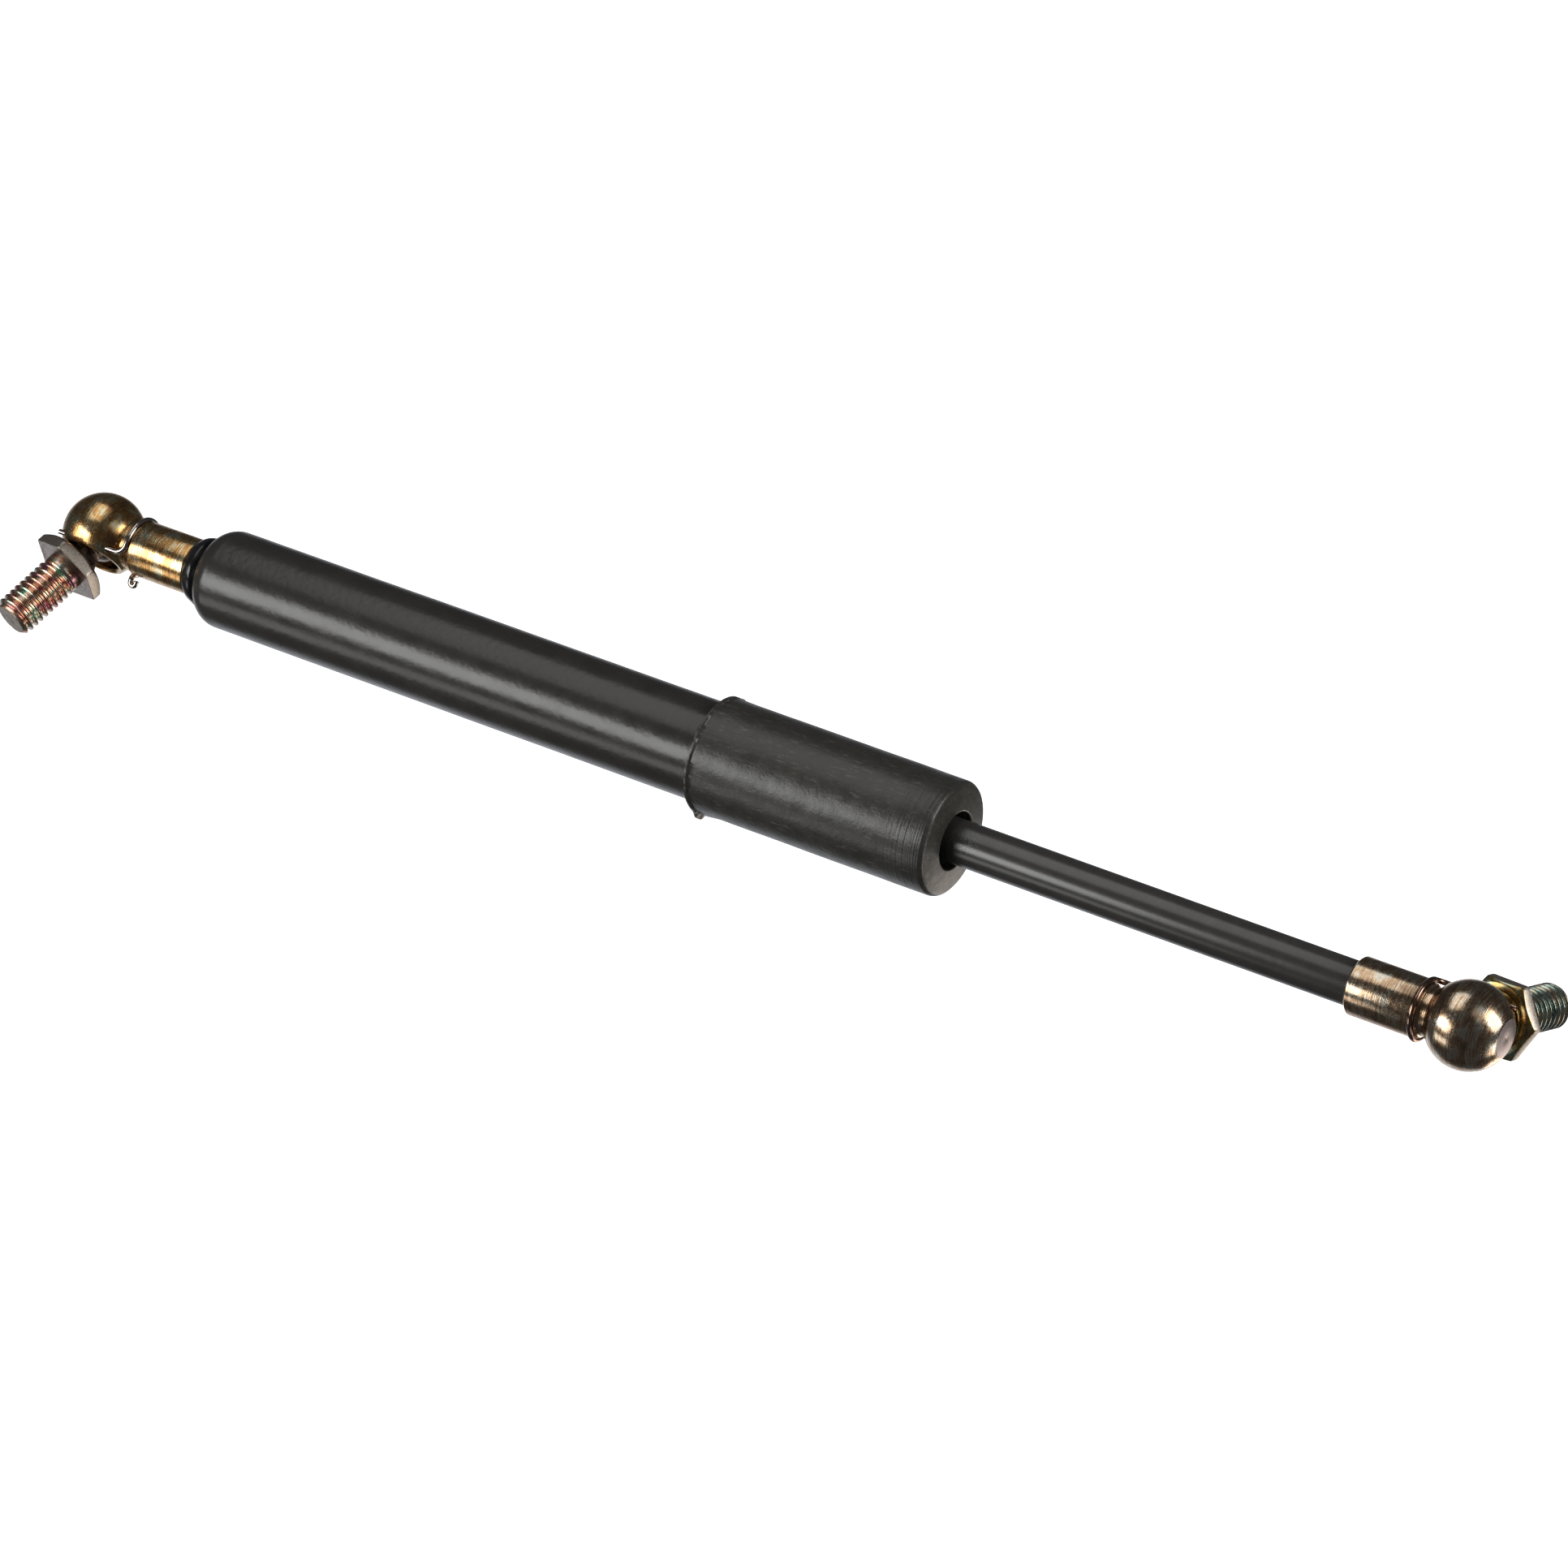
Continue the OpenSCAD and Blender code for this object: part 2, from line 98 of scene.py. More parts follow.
# %% Find the two ball joints
joints = {joint["name"]: joint for joint in frame["joints"]}
ball_centres = {end: Vector(joints[end + "_stud_turn"]["pos_m"]) for end in ("tube_end", "rod_end")}
stud_axes = {end: Vector(joints[end + "_stud_turn"]["axis"]) for end in ("tube_end", "rod_end")}
MOUTH_DROP = {"tube_end": 35.0, "rod_end": 18.0}
STUD_TURN = {"tube_end": -13.0, "rod_end": 24.0}


def socket_place(end):
    """Where a socket sits: its shank points along its own +X and its mouth along its own -Y."""
    if end == "tube_end":
        return Matrix.Rotation(math.radians(MOUTH_DROP[end]), 4, "X")
    turned_round = Matrix.Rotation(math.radians(-MOUTH_DROP[end]), 4, "X") @ Matrix.Rotation(math.pi, 4, "Z")
    return Matrix.Translation(ball_centres[end]) @ turned_round


def stud_place(end):
    """Where a ball stud sits: its thread points along its own +X."""
    axis = stud_axes[end].normalized()
    heading = Matrix.Rotation(math.atan2(axis.y, axis.x), 4, "Z")
    drop = Matrix.Rotation(math.asin(-axis.z), 4, "Y")
    turn = Matrix.Rotation(math.radians(STUD_TURN[end]), 4, "X")
    return Matrix.Translation(ball_centres[end]) @ heading @ drop @ turn


ball_radius_mm = 5.0
print("ball to ball:", round((ball_centres["rod_end"] - ball_centres["tube_end"]).length / MM, 1), "mm")

# %% [markdown]
# ## The camera
#
# A long lens from over a metre away shows such a thin object without bending it: the two ends keep
# nearly the same scale. The camera looks down on the strut from its front right.

# %% Place the camera
HEADING, HEIGHT = math.radians(32.997), math.radians(33.682)
DISTANCE = 1335.66
SENSOR, LENS = 36.0, 176.57
aim = Vector((147.651, 0.0, -1.078)) * MM
towards_camera = Vector(
    (
        math.sin(HEADING) * math.cos(HEIGHT),
        -math.cos(HEADING) * math.cos(HEIGHT),
        math.sin(HEIGHT),
    )
)
camera_data = bpy.data.cameras.new("long_lens")
camera_data.sensor_width = SENSOR
camera_data.lens = LENS
camera_data.clip_start = 50 * MM
camera_data.clip_end = 20000 * MM
camera = bpy.data.objects.new("camera", camera_data)
camera.location = aim + towards_camera * DISTANCE * MM
camera.rotation_euler = towards_camera.to_track_quat("Z", "Y").to_euler()
bpy.context.scene.collection.objects.link(camera)
bpy.context.scene.camera = camera
print("camera", [round(c, 3) for c in camera.location])

# %% [markdown]
# ## Colours and nodes
#
# A colour card gives sRGB values, while the renderer works in linear light, so one function turns the
# one into the other. Every material is a small tree of nodes. One more function adds a node, sets it and
# joins it to the nodes that feed it, and all the finishes below are written with it.

# %% Turn a hex colour to linear light
def to_linear(value):
    """One sRGB value from 0 to 1 in linear light, by the standard's own curve."""
    return value / 12.92 if value <= 0.04045 else ((value + 0.055) / 1.055) ** 2.4


def colour(hex_code):
    """An sRGB hex colour as linear red, green, blue and alpha."""
    red, green, blue = (to_linear(int(hex_code[i : i + 2], 16) / 255) for i in (1, 3, 5))
    return red, green, blue, 1.0


print("mid grey #808080 is", round(colour("#808080")[0], 3), "in linear light")

# %% Add a node
def add(tree, kind, inputs=None, stops=None, **options):
    """Adds a node to a tree. Inputs hold a value or the output that feeds them; stops are a ramp's."""
    node = tree.nodes.new("ShaderNode" + kind)
    for name, value in options.items():
        setattr(node, name, value)
    for key, value in (inputs or {}).items():
        if isinstance(value, bpy.types.NodeSocket):
            tree.links.new(value, node.inputs[key])
        else:
            node.inputs[key].default_value = value
    for i, (place, shade) in enumerate(stops or []):
        marks = node.color_ramp.elements
        mark = marks[i] if i < len(marks) else marks.new(place)
        mark.position = place
        mark.color = shade
    return node


def new_material(name):
    """An empty node material and its tree."""
    material = bpy.data.materials.new(name)
    material.use_nodes = True
    material.node_tree.nodes.clear()
    return material, material.node_tree


def finish_with(tree, shader):
    """Sends a shader to the surface."""
    add(tree, "OutputMaterial", {"Surface": shader.outputs[0]})


def in_millimetres(tree):
    """The piece's own coordinates in millimetres, as one vector and as x, y and z."""
    place = add(tree, "TexCoord")
    scaled = add(tree, "VectorMath", {0: place.outputs["Object"], 1: (1 / MM,) * 3}, operation="MULTIPLY")
    parts = add(tree, "SeparateXYZ", {0: scaled.outputs[0]})
    return scaled.outputs[0], parts.outputs


print("node helpers ready")

# %% [markdown]
# ## The floor and the light
#
# The strut lies on a sheet of white acrylic that is lit through, so it throws no shadow. The sheet is also
# kept out of the reflections, because three of the panels stand lower than it does and still have to
# reach the metal. A studio for bright metal is mostly dark, with a few big soft panels, because metal
# shows nothing but what is round it: the panels draw the bands on the tube and the bright patches on the
# round heads, and the dark between them gives the metal its depth.

# %% Lay the floor
floor_material, tree = new_material("white_acrylic_lit_through")
acrylic = add(
    tree,
    "BsdfPrincipled",
    {
        "Base Color": colour("#ffffff"),
        "Roughness": 0.6,
        "Emission Color": colour("#ffffff"),
        "Emission Strength": 1.0,
    },
)
finish_with(tree, acrylic)
FLOOR_HALF = 4.0
FLOOR_DROP = 0.2
floor_mesh = bpy.data.meshes.new("floor")
floor_z = cad_low.z - FLOOR_DROP * MM
corners = [(-1, -1), (1, -1), (1, 1), (-1, 1)]
floor_points = [(x * FLOOR_HALF, y * FLOOR_HALF, floor_z) for x, y in corners]
floor_mesh.from_pydata(floor_points, [], [(0, 1, 2, 3)])
floor_mesh.materials.append(floor_material)
floor = bpy.data.objects.new("floor", floor_mesh)
bpy.context.scene.collection.objects.link(floor)
floor.visible_glossy = False
floor.visible_diffuse = False
floor.visible_shadow = False
print("floor at", round(floor_z / MM, 2), "mm")

# %% Stand the soft panels round it
PANEL_DISTANCE = 900


def soft_panel(name, direction, width, height, radiance, shade="#ffffff"):
    """A soft panel, its sides in mm, that faces the strut. Its radiance is how bright it looks."""
    data = bpy.data.lights.new(name, "AREA")
    data.shape = "RECTANGLE"
    data.size, data.size_y = width * MM, height * MM
    data.energy = radiance * math.pi * data.size * data.size_y
    data.color = colour(shade)[:3]
    panel = bpy.data.objects.new(name, data)
    away = Vector(direction).normalized()
    panel.location = aim + away * PANEL_DISTANCE * MM
    panel.rotation_euler = away.to_track_quat("Z", "Y").to_euler()
    bpy.context.scene.collection.objects.link(panel)


soft_panel("front_left_panel", (-0.60, -0.76, 0.24), 620, 380, 6.0)
soft_panel("overhead_panel", (-0.36, 0.0, 0.93), 760, 520, 1.3)
soft_panel("right_panel", (0.90, 0.16, 0.40), 420, 560, 5.5)
soft_panel("low_left_panel", (-0.56, -0.73, -0.40), 560, 240, 1.8)
soft_panel("low_right_panel", (0.86, 0.10, -0.50), 360, 360, 2.6)
soft_panel("low_back_panel", (0.34, 0.56, -0.75), 420, 420, 2.2, "#fff4e8")
soft_panel("upper_right_fill", (0.62, -0.12, 0.77), 460, 460, 0.4)

# %% Light the dark room and its pale backdrop
room = bpy.data.worlds.new("dark_room_with_pale_backdrop")
room.use_nodes = True
tree = room.node_tree
tree.nodes.clear()
direction = add(tree, "TexCoord").outputs["Generated"]
to_backdrop = Vector((-0.50, 0.55, -0.67)).normalized()
backdrop = add(tree, "VectorMath", {0: direction, 1: to_backdrop}, operation="DOT_PRODUCT")
backdrop_light = add(
    tree,
    "MapRange",
    {"Value": backdrop.outputs["Value"], "From Min": 0.74, "From Max": 0.95, "To Min": 0.055, "To Max": 0.85},
    interpolation_type="SMOOTHSTEP",
)
sky = add(tree, "Background", {"Color": colour("#f4f7ff"), "Strength": backdrop_light.outputs["Result"]})
add(tree, "OutputWorld", {"Surface": sky.outputs[0]})
bpy.context.scene.world = room
bpy.context.scene.view_settings.view_transform = "Standard"
print("room:", room.name)

# %% [markdown]
# ## Black baked enamel
#
# The tube was dipped or sprayed with black stoving enamel and baked. Such paint is smooth but not flat:
# it dries with a fine orange peel, about a millimetre from crest to crest, and handling leaves hairline
# scuffs. The eye gets a soft, slightly grainy sheen instead of a hard mirror line.

# %% Make the tube's enamel
def black_enamel():
    """Smooth black paint with an orange peel, a finer grain and a drift of wear in its gloss."""
    material, tree = new_material("black_baked_enamel")
    place, _ = in_millimetres(tree)
    peel = add(tree, "TexNoise", {"Vector": place, "Scale": 0.9, "Detail": 2.0, "Roughness": 0.45})
    grain = add(tree, "TexNoise", {"Vector": place, "Scale": 5.0, "Detail": 3.0, "Roughness": 0.6})
    wear = add(tree, "TexNoise", {"Vector": place, "Scale": 0.16, "Detail": 4.0, "Roughness": 0.6})
    sheen = add(
        tree,
        "MapRange",
        {"Value": wear.outputs[0], "From Min": 0.35, "From Max": 0.7, "To Min": 0.22, "To Max": 0.29},
    )
    tone = add(
        tree,
        "ValToRGB",
        {"Fac": wear.outputs[0]},
        stops=[(0.3, colour("#32302d")), (0.7, colour("#3a3834"))],
    )
    peel_bump = add(tree, "Bump", {"Height": peel.outputs[0], "Distance": 0.035 * MM, "Strength": 1.0})
    grain_bump = add(
        tree,
        "Bump",
        {"Height": grain.outputs[0], "Distance": 0.006 * MM, "Strength": 1.0, "Normal": peel_bump.outputs[0]},
    )
    shader = add(
        tree,
        "BsdfPrincipled",
        {
            "Base Color": tone.outputs[0],
            "Roughness": sheen.outputs["Result"],
            "IOR": 1.5,
            "Normal": grain_bump.outputs[0],
        },
    )
    finish_with(tree, shader)
    return material


enamel = black_enamel()
print("made", enamel.name)

# %% [markdown]
# ## Moulded soft plastic
#
# The protective sleeve is a moulded cap of black soft plastic, such as PVC. It is duller than paint and
# picks up pale rub marks. As it was drawn off its core it stuck and slipped near its closed end, which
# left fine rings there, about half a millimetre apart.

# %% Make the sleeve's plastic
RINGS_FROM, RINGS_FULL = 9, 2


def black_soft_plastic():
    """Dull black plastic with a slow mottle, pale rub marks along it and rings near its closed end."""
    material, tree = new_material("black_moulded_soft_plastic")
    place, parts = in_millimetres(tree)
    mottle = add(tree, "TexNoise", {"Vector": place, "Scale": 0.35, "Detail": 4.0, "Roughness": 0.6})
    along = add(tree, "VectorMath", {0: place, 1: (0.35, 1.6, 1.6)}, operation="MULTIPLY")
    rubs = add(tree, "TexNoise", {"Vector": along.outputs[0], "Scale": 1.0, "Detail": 5.0, "Roughness": 0.7})
    rub_marks = add(
        tree,
        "MapRange",
        {"Value": rubs.outputs[0], "From Min": 0.56, "From Max": 0.70, "To Min": 0.0, "To Max": 0.8},
    )
    body = add(
        tree,
        "ValToRGB",
        {"Fac": mottle.outputs[0]},
        stops=[(0.3, colour("#353430")), (0.7, colour("#3e3c37"))],
    )
    tone = add(
        tree,
        "Mix",
        {0: rub_marks.outputs["Result"], 6: body.outputs[0], 7: colour("#66645e")},
        data_type="RGBA",
    )
    near_end = add(
        tree,
        "MapRange",
        {
            "Value": parts["X"],
            "From Min": sleeve_high.x - RINGS_FROM,
            "From Max": sleeve_high.x - RINGS_FULL,
            "To Min": 0.0,
            "To Max": 1.0,
        },
    )
    slips = add(tree, "TexNoise", {"W": parts["X"], "Scale": 2.4, "Detail": 1.0}, noise_dimensions="1D")
    rings = add(tree, "Math", {0: slips.outputs[0], 1: near_end.outputs["Result"]}, operation="MULTIPLY")
    mottle_bump = add(tree, "Bump", {"Height": mottle.outputs[0], "Distance": 0.12 * MM})
    skin = add(tree, "TexNoise", {"Vector": place, "Scale": 4.0, "Detail": 2.0})
    skin_bump = add(
        tree, "Bump", {"Height": skin.outputs[0], "Distance": 0.008 * MM, "Normal": mottle_bump.outputs[0]}
    )
    ring_bump = add(
        tree, "Bump", {"Height": rings.outputs[0], "Distance": 0.12 * MM, "Normal": skin_bump.outputs[0]}
    )
    sheen = add(
        tree,
        "MapRange",
        {"Value": mottle.outputs[0], "From Min": 0.3, "From Max": 0.7, "To Min": 0.30, "To Max": 0.38},
    )
    shader = add(
        tree,
        "BsdfPrincipled",
        {
            "Base Color": tone.outputs[2],
            "Roughness": sheen.outputs["Result"],
            "IOR": 1.5,
            "Normal": ring_bump.outputs[0],
        },
    )
    finish_with(tree, shader)
    return material


soft_plastic = black_soft_plastic()
print("made", soft_plastic.name)

# %% [markdown]
# ## Blackened rod steel
#
# The rod is ground, nitrided in a salt bath and blackened. The layer is hard, dark and satin. Grinding
# leaves hairlines round the rod, far finer than a tenth of a millimetre; they are drawn at a quarter of
# a millimetre here so that they show at all. Near the sleeve the rod has been gripped, and a small patch
# of scratches shows lighter steel.

# %% Make the rod's black layer
GRIP = (sleeve_high.x + 4.5, -3.0, 2.6)


def blackened_rod_steel():
    """Satin black steel with ground hairlines round it and one gripped, scratched patch."""
    material, tree = new_material("blackened_nitrided_steel")
    place, _ = in_millimetres(tree)
    round_rod = add(tree, "VectorMath", {0: place, 1: (4.0, 0.4, 0.4)}, operation="MULTIPLY")
    ground = add(tree, "TexNoise", {"Vector": round_rod.outputs[0], "Scale": 1.0, "Detail": 2.0})
    mottle = add(tree, "TexNoise", {"Vector": place, "Scale": 0.3, "Detail": 5.0, "Roughness": 0.65})
    tone = add(
        tree,
        "ValToRGB",
        {"Fac": mottle.outputs[0]},
        stops=[(0.3, colour("#3a3835")), (0.55, colour("#403e3c")), (0.75, colour("#48443d"))],
    )
    patch = add(tree, "VectorMath", {0: place, 1: GRIP}, operation="DISTANCE")
    in_patch = add(
        tree,
        "MapRange",
        {"Value": patch.outputs["Value"], "From Min": 1.2, "From Max": 3.2, "To Min": 1.0, "To Max": 0.0},
    )
    hairs = add(tree, "TexNoise", {"Vector": place, "Scale": 2.6, "Detail": 3.0, "Distortion": 1.2})
    hair_lines = add(
        tree,
        "MapRange",
        {"Value": hairs.outputs[0], "From Min": 0.55, "From Max": 0.62, "To Min": 0.0, "To Max": 0.8},
    )
    bare = add(
        tree, "Math", {0: hair_lines.outputs["Result"], 1: in_patch.outputs["Result"]}, operation="MULTIPLY"
    )
    worn = add(
        tree, "Mix", {0: bare.outputs[0], 6: tone.outputs[0], 7: colour("#6f6f70")}, data_type="RGBA"
    )
    fine = add(tree, "Bump", {"Height": ground.outputs[0], "Distance": 0.004 * MM})
    shader = add(
        tree,
        "BsdfPrincipled",
        {
            "Base Color": worn.outputs[2],
            "Metallic": 0.0,
            "IOR": 1.6,
            "Roughness": 0.26,
            "Normal": fine.outputs[0],
        },
    )
    finish_with(tree, shader)
    return material


rod_black = blackened_rod_steel()
print("made", rod_black.name)

# %% [markdown]
# ## Black rubber and the pale inner parts
#
# The locking ring is squeezed rubber with a wet-looking skin. Inside the tube sit rubber seals, a sintered
# bronze guide and piston, plain steel washers and a washer of white plastic. They hide in the dark of the
# tube, and only the sleeve's hole gives a glimpse of them, yet each has the finish of its own making.

# %% Make the rubber and the inner finishes
def plain_finish(name, low, high, metallic, roughness, bump_mm, scale):
    """A finish with a fine mottle of two shades and a shallow grain, its scale per millimetre."""
    material, tree = new_material(name)
    place, _ = in_millimetres(tree)
    grain = add(tree, "TexNoise", {"Vector": place, "Scale": scale, "Detail": 4.0, "Roughness": 0.6})
    tone = add(
        tree, "ValToRGB", {"Fac": grain.outputs[0]}, stops=[(0.35, colour(low)), (0.7, colour(high))]
    )
    bump = add(tree, "Bump", {"Height": grain.outputs[0], "Distance": bump_mm * MM})
    shader = add(
        tree,
        "BsdfPrincipled",
        {
            "Base Color": tone.outputs[0],
            "Metallic": metallic,
            "Roughness": roughness,
            "Normal": bump.outputs[0],
        },
    )
    finish_with(tree, shader)
    return material


glossy_rubber = plain_finish("glossy_black_rubber", "#18181a", "#222224", 0.0, 0.2, 0.05, 0.8)
seal_rubber = plain_finish("black_nitrile_rubber", "#1b1b1c", "#252526", 0.0, 0.5, 0.02, 3.0)
bronze = plain_finish("sintered_bronze", "#8a6a3c", "#a9854e", 1.0, 0.45, 0.03, 6.0)
bright_steel = plain_finish("turned_bright_steel", "#a9abae", "#c3c5c8", 1.0, 0.3, 0.01, 5.0)
white_plastic = plain_finish("moulded_white_acetal", "#cfccc2", "#dedbd2", 0.0, 0.4, 0.01, 3.0)
print("made", [m.name for m in (glossy_rubber, seal_rubber, bronze, bright_steel, white_plastic)])

# %% [markdown]
# ## Yellow passivated zinc on turned steel
#
# The sockets are turned from bar, zinc plated and dipped in chromate. The chromate film is thinner than
# a wavelength of light in places and thicker in others, so it shows gold, with drifts of green and rose,
# as oil does on water. The lathe leaves a groove with each turn, a fifth of a millimetre apart, and the
# plating fills some of them. The streaks here have that same spacing. Each highlight breaks into short
# bright and dark streaks that run round the lathe's axis.

# %% Make the turned and passivated finish
def passivated_zinc(name, shades, streak_mm, bump_mm, roughness):
    """Gold chromate on turned steel. Shades are the film's drifts of colour from thin to thick."""
    material, tree = new_material(name)
    place, parts = in_millimetres(tree)
    across = add(tree, "CombineXYZ", {"Y": parts["Y"], "Z": parts["Z"]})
    out = add(tree, "VectorMath", {0: across.outputs[0]}, operation="LENGTH")
    feed = add(tree, "Math", {0: parts["X"], 1: out.outputs["Value"]}, operation="ADD")
    feed_scaled = add(tree, "Math", {0: feed.outputs[0], 1: 1 / streak_mm}, operation="MULTIPLY")
    round_axis = add(tree, "VectorMath", {0: across.outputs[0], 1: (0.24,) * 3}, operation="MULTIPLY")
    round_parts = add(tree, "SeparateXYZ", {0: round_axis.outputs[0]})
    lathe = add(
        tree,
        "CombineXYZ",
        {"X": feed_scaled.outputs[0], "Y": round_parts.outputs["Y"], "Z": round_parts.outputs["Z"]},
    )
    streaks = add(
        tree, "TexNoise", {"Vector": lathe.outputs[0], "Scale": 1.0, "Detail": 3.0, "Roughness": 0.55}
    )
    drift = add(tree, "TexNoise", {"Vector": place, "Scale": 0.42, "Detail": 3.0, "Roughness": 0.6})
    fleck = add(tree, "TexNoise", {"Vector": place, "Scale": 2.4, "Detail": 3.0, "Roughness": 0.6})
    film = add(
        tree,
        "Mix",
        {0: 0.38, 2: drift.outputs[0], 3: streaks.outputs[0]},
        data_type="FLOAT",
    )
    film_colour = add(
        tree, "ValToRGB", {"Fac": film.outputs[0]}, stops=[(p, colour(c)) for p, c in shades]
    )
    shade = add(
        tree,
        "MapRange",
        {"Value": streaks.outputs[0], "From Min": 0.32, "From Max": 0.68, "To Min": 0.74, "To Max": 1.08},
    )
    toned = add(
        tree,
        "Mix",
        {0: 1.0, 6: film_colour.outputs[0], 7: shade.outputs["Result"]},
        data_type="RGBA",
        blend_type="MULTIPLY",
    )
    gloss = add(
        tree,
        "MapRange",
        {
            "Value": fleck.outputs[0],
            "From Min": 0.3,
            "From Max": 0.7,
            "To Min": roughness - 0.06,
            "To Max": roughness + 0.08,
        },
    )
    soft = add(tree, "Bump", {"Height": fleck.outputs[0], "Distance": 0.5 * bump_mm * MM})
    cut = add(
        tree, "Bump", {"Height": streaks.outputs[0], "Distance": bump_mm * MM, "Normal": soft.outputs[0]}
    )
    shader = add(
        tree,
        "BsdfPrincipled",
        {
            "Base Color": toned.outputs[2],
            "Metallic": 1.0,
            "Roughness": gloss.outputs["Result"],
            "Normal": cut.outputs[0],
        },
    )
    finish_with(tree, shader)
    return material


FEED = 0.2
GOLD_SHADES = [
    (0.32, "#94705e"),
    (0.42, "#b98a56"),
    (0.50, "#d2a86c"),
    (0.58, "#dccfac"),
    (0.68, "#abb8a4"),
]
BRONZE_SHADES = [
    (0.32, "#8f7c74"),
    (0.42, "#ad8f72"),
    (0.50, "#c6a988"),
    (0.58, "#d8cdba"),
    (0.68, "#a6aea4"),
]
gold_zinc = passivated_zinc("gold_passivated_zinc", GOLD_SHADES, FEED, 0.02, 0.21)
bronze_zinc = passivated_zinc("bronze_passivated_zinc", BRONZE_SHADES, FEED, 0.014, 0.2)
print("made", gold_zinc.name, bronze_zinc.name)

# %% [markdown]
# ## The studs' finish
#
# A ball stud is cold headed, its thread is rolled and the hexagon's seat is faced on a lathe. The same
# chromate looks different on each. On the rolled thread it is smooth and shows rainbow drifts from red
# and rose through orange to green. On the hexagon's headed sides it is dull and grainy. The tip is the
# rough end of the bar.

# %% Make the studs' three finishes
THREAD_SHADES = {
    "tube_end": [
        (0.34, "#b88a98"),
        (0.42, "#dc9a9e"),
        (0.48, "#e0ae86"),
        (0.56, "#e4d6c6"),
        (0.64, "#84c09e"),
    ],
    "rod_end": [
        (0.34, "#74746c"),
        (0.42, "#94a090"),
        (0.50, "#c0d0c6"),
        (0.58, "#cfbf9c"),
        (0.68, "#9884a0"),
    ],
}
SEAT_SHADES = {
    "tube_end": [(0.34, "#7b6c66"), (0.45, "#9c8d84"), (0.55, "#b8aca2"), (0.68, "#a89c98")],
    "rod_end": [
        (0.34, "#6b675c"),
        (0.43, "#9c8c62"),
        (0.50, "#c09a58"),
        (0.58, "#b2c0a4"),
        (0.70, "#8d8272"),
    ],
}
thread_zinc = {
    end: passivated_zinc(f"{end}_rolled_thread_zinc", shades, 0.5, 0.004, 0.23)
    for end, shades in THREAD_SHADES.items()
}
seat_zinc = {
    "tube_end": passivated_zinc("tube_end_faced_hexagon_zinc", SEAT_SHADES["tube_end"], 0.3, 0.03, 0.3),
    "rod_end": passivated_zinc("rod_end_faced_hexagon_zinc", SEAT_SHADES["rod_end"], 0.3, 0.006, 0.24),
}
headed_zinc = plain_finish("cold_headed_zinc", "#9c9084", "#cfc5b8", 1.0, 0.42, 0.03, 3.4)
# Both clips are the same spring wire. The rod-end copy has a bronze tint of its own, and it is also made
# darker as painted shade for the dark that the wire reflects where it sits in the neck.
spring_wire = {
    "tube_end": plain_finish("drawn_spring_wire_pale", "#b5aaa2", "#d8cdc4", 1.0, 0.15, 0.005, 1.5),
    "rod_end": plain_finish("drawn_spring_wire_bronze_with_painted_shade", "#8a6f62", "#b59684", 1.0, 0.15, 0.005, 1.5),
}
facet_zinc = plain_finish("faced_pole_zinc", "#b8a8a4", "#d0c2be", 1.0, 0.42, 0.012, 3.0)
print("made", len(bpy.data.materials), "materials so far")

# %% [markdown]
# ## Making a mesh
#
# Nearly all of this strut is turned work, so one helper spins an outline about the X axis, as a lathe
# does. An outline is a list of corners in millimetres along the axis and out from it, and each corner
# may have a fillet, because no real edge is perfectly sharp and an eased edge catches a line of light.

# %% Ease an outline's corners
def eased(corners, steps=4):
    """An outline from corners of (x, radius, fillet). A fillet of 0 keeps the corner sharp."""
    outline = []
    for i, (x, r, fillet) in enumerate(corners):
        here = Vector((x, r))
        if fillet == 0 or i in (0, len(corners) - 1):
            outline.append(here)
            continue
        before = Vector(corners[i - 1][:2]) - here
        after = Vector(corners[i + 1][:2]) - here
        reach = min(fillet, before.length * 0.49, after.length * 0.49)
        start = here + before.normalized() * reach
        end = here + after.normalized() * reach
        for k in range(steps + 1):
            t = k / steps
            outline.append((1 - t) ** 2 * start + 2 * t * (1 - t) * here + t * t * end)
    return outline


def arc(centre_x, centre_r, radius, first, last, steps=12):
    """Corners along an arc, its angles in degrees from +X towards the outside, with no fillets."""
    angles = [math.radians(first + (last - first) * k / steps) for k in range(steps + 1)]
    return [(centre_x + radius * math.cos(a), centre_r + radius * math.sin(a), 0) for a in angles]


print("a square corner with a fillet has", len(eased([(0, 0, 0), (0, 1, 0.2), (1, 1, 0)])) - 2, "points")

# %% Spin an outline
def spin(outline, around=96, closed=False, shape=None):
    """Points and faces of an outline turned about the X axis. Shape may move each point (x, r, angle)."""
    points, rows = [], []
    for x, r in outline:
        if r < 1e-6:
            rows.append([len(points)] * around)
            points.append((x, 0.0, 0.0))
            continue
        rows.append(range(len(points), len(points) + around))
        for k in range(around):
            angle = 2 * math.pi * k / around
            px, pr = shape(x, r, angle) if shape else (x, r)
            points.append((px, pr * math.cos(angle), pr * math.sin(angle)))
    pairs = list(zip(rows, rows[1:])) + ([(rows[-1], rows[0])] if closed else [])
    faces = []
    for low, high in pairs:
        for k in range(around):
            n = (k + 1) % around
            corners = [low[k], low[n], high[n], high[k]]
            ring = [c for i, c in enumerate(corners) if c != corners[i - 1]]
            if len(ring) > 2:
                faces.append(ring)
    return points, faces


print("a spun disc has", len(spin([(0, 0), (0, 1), (1, 1), (1, 0)])[1]), "faces")

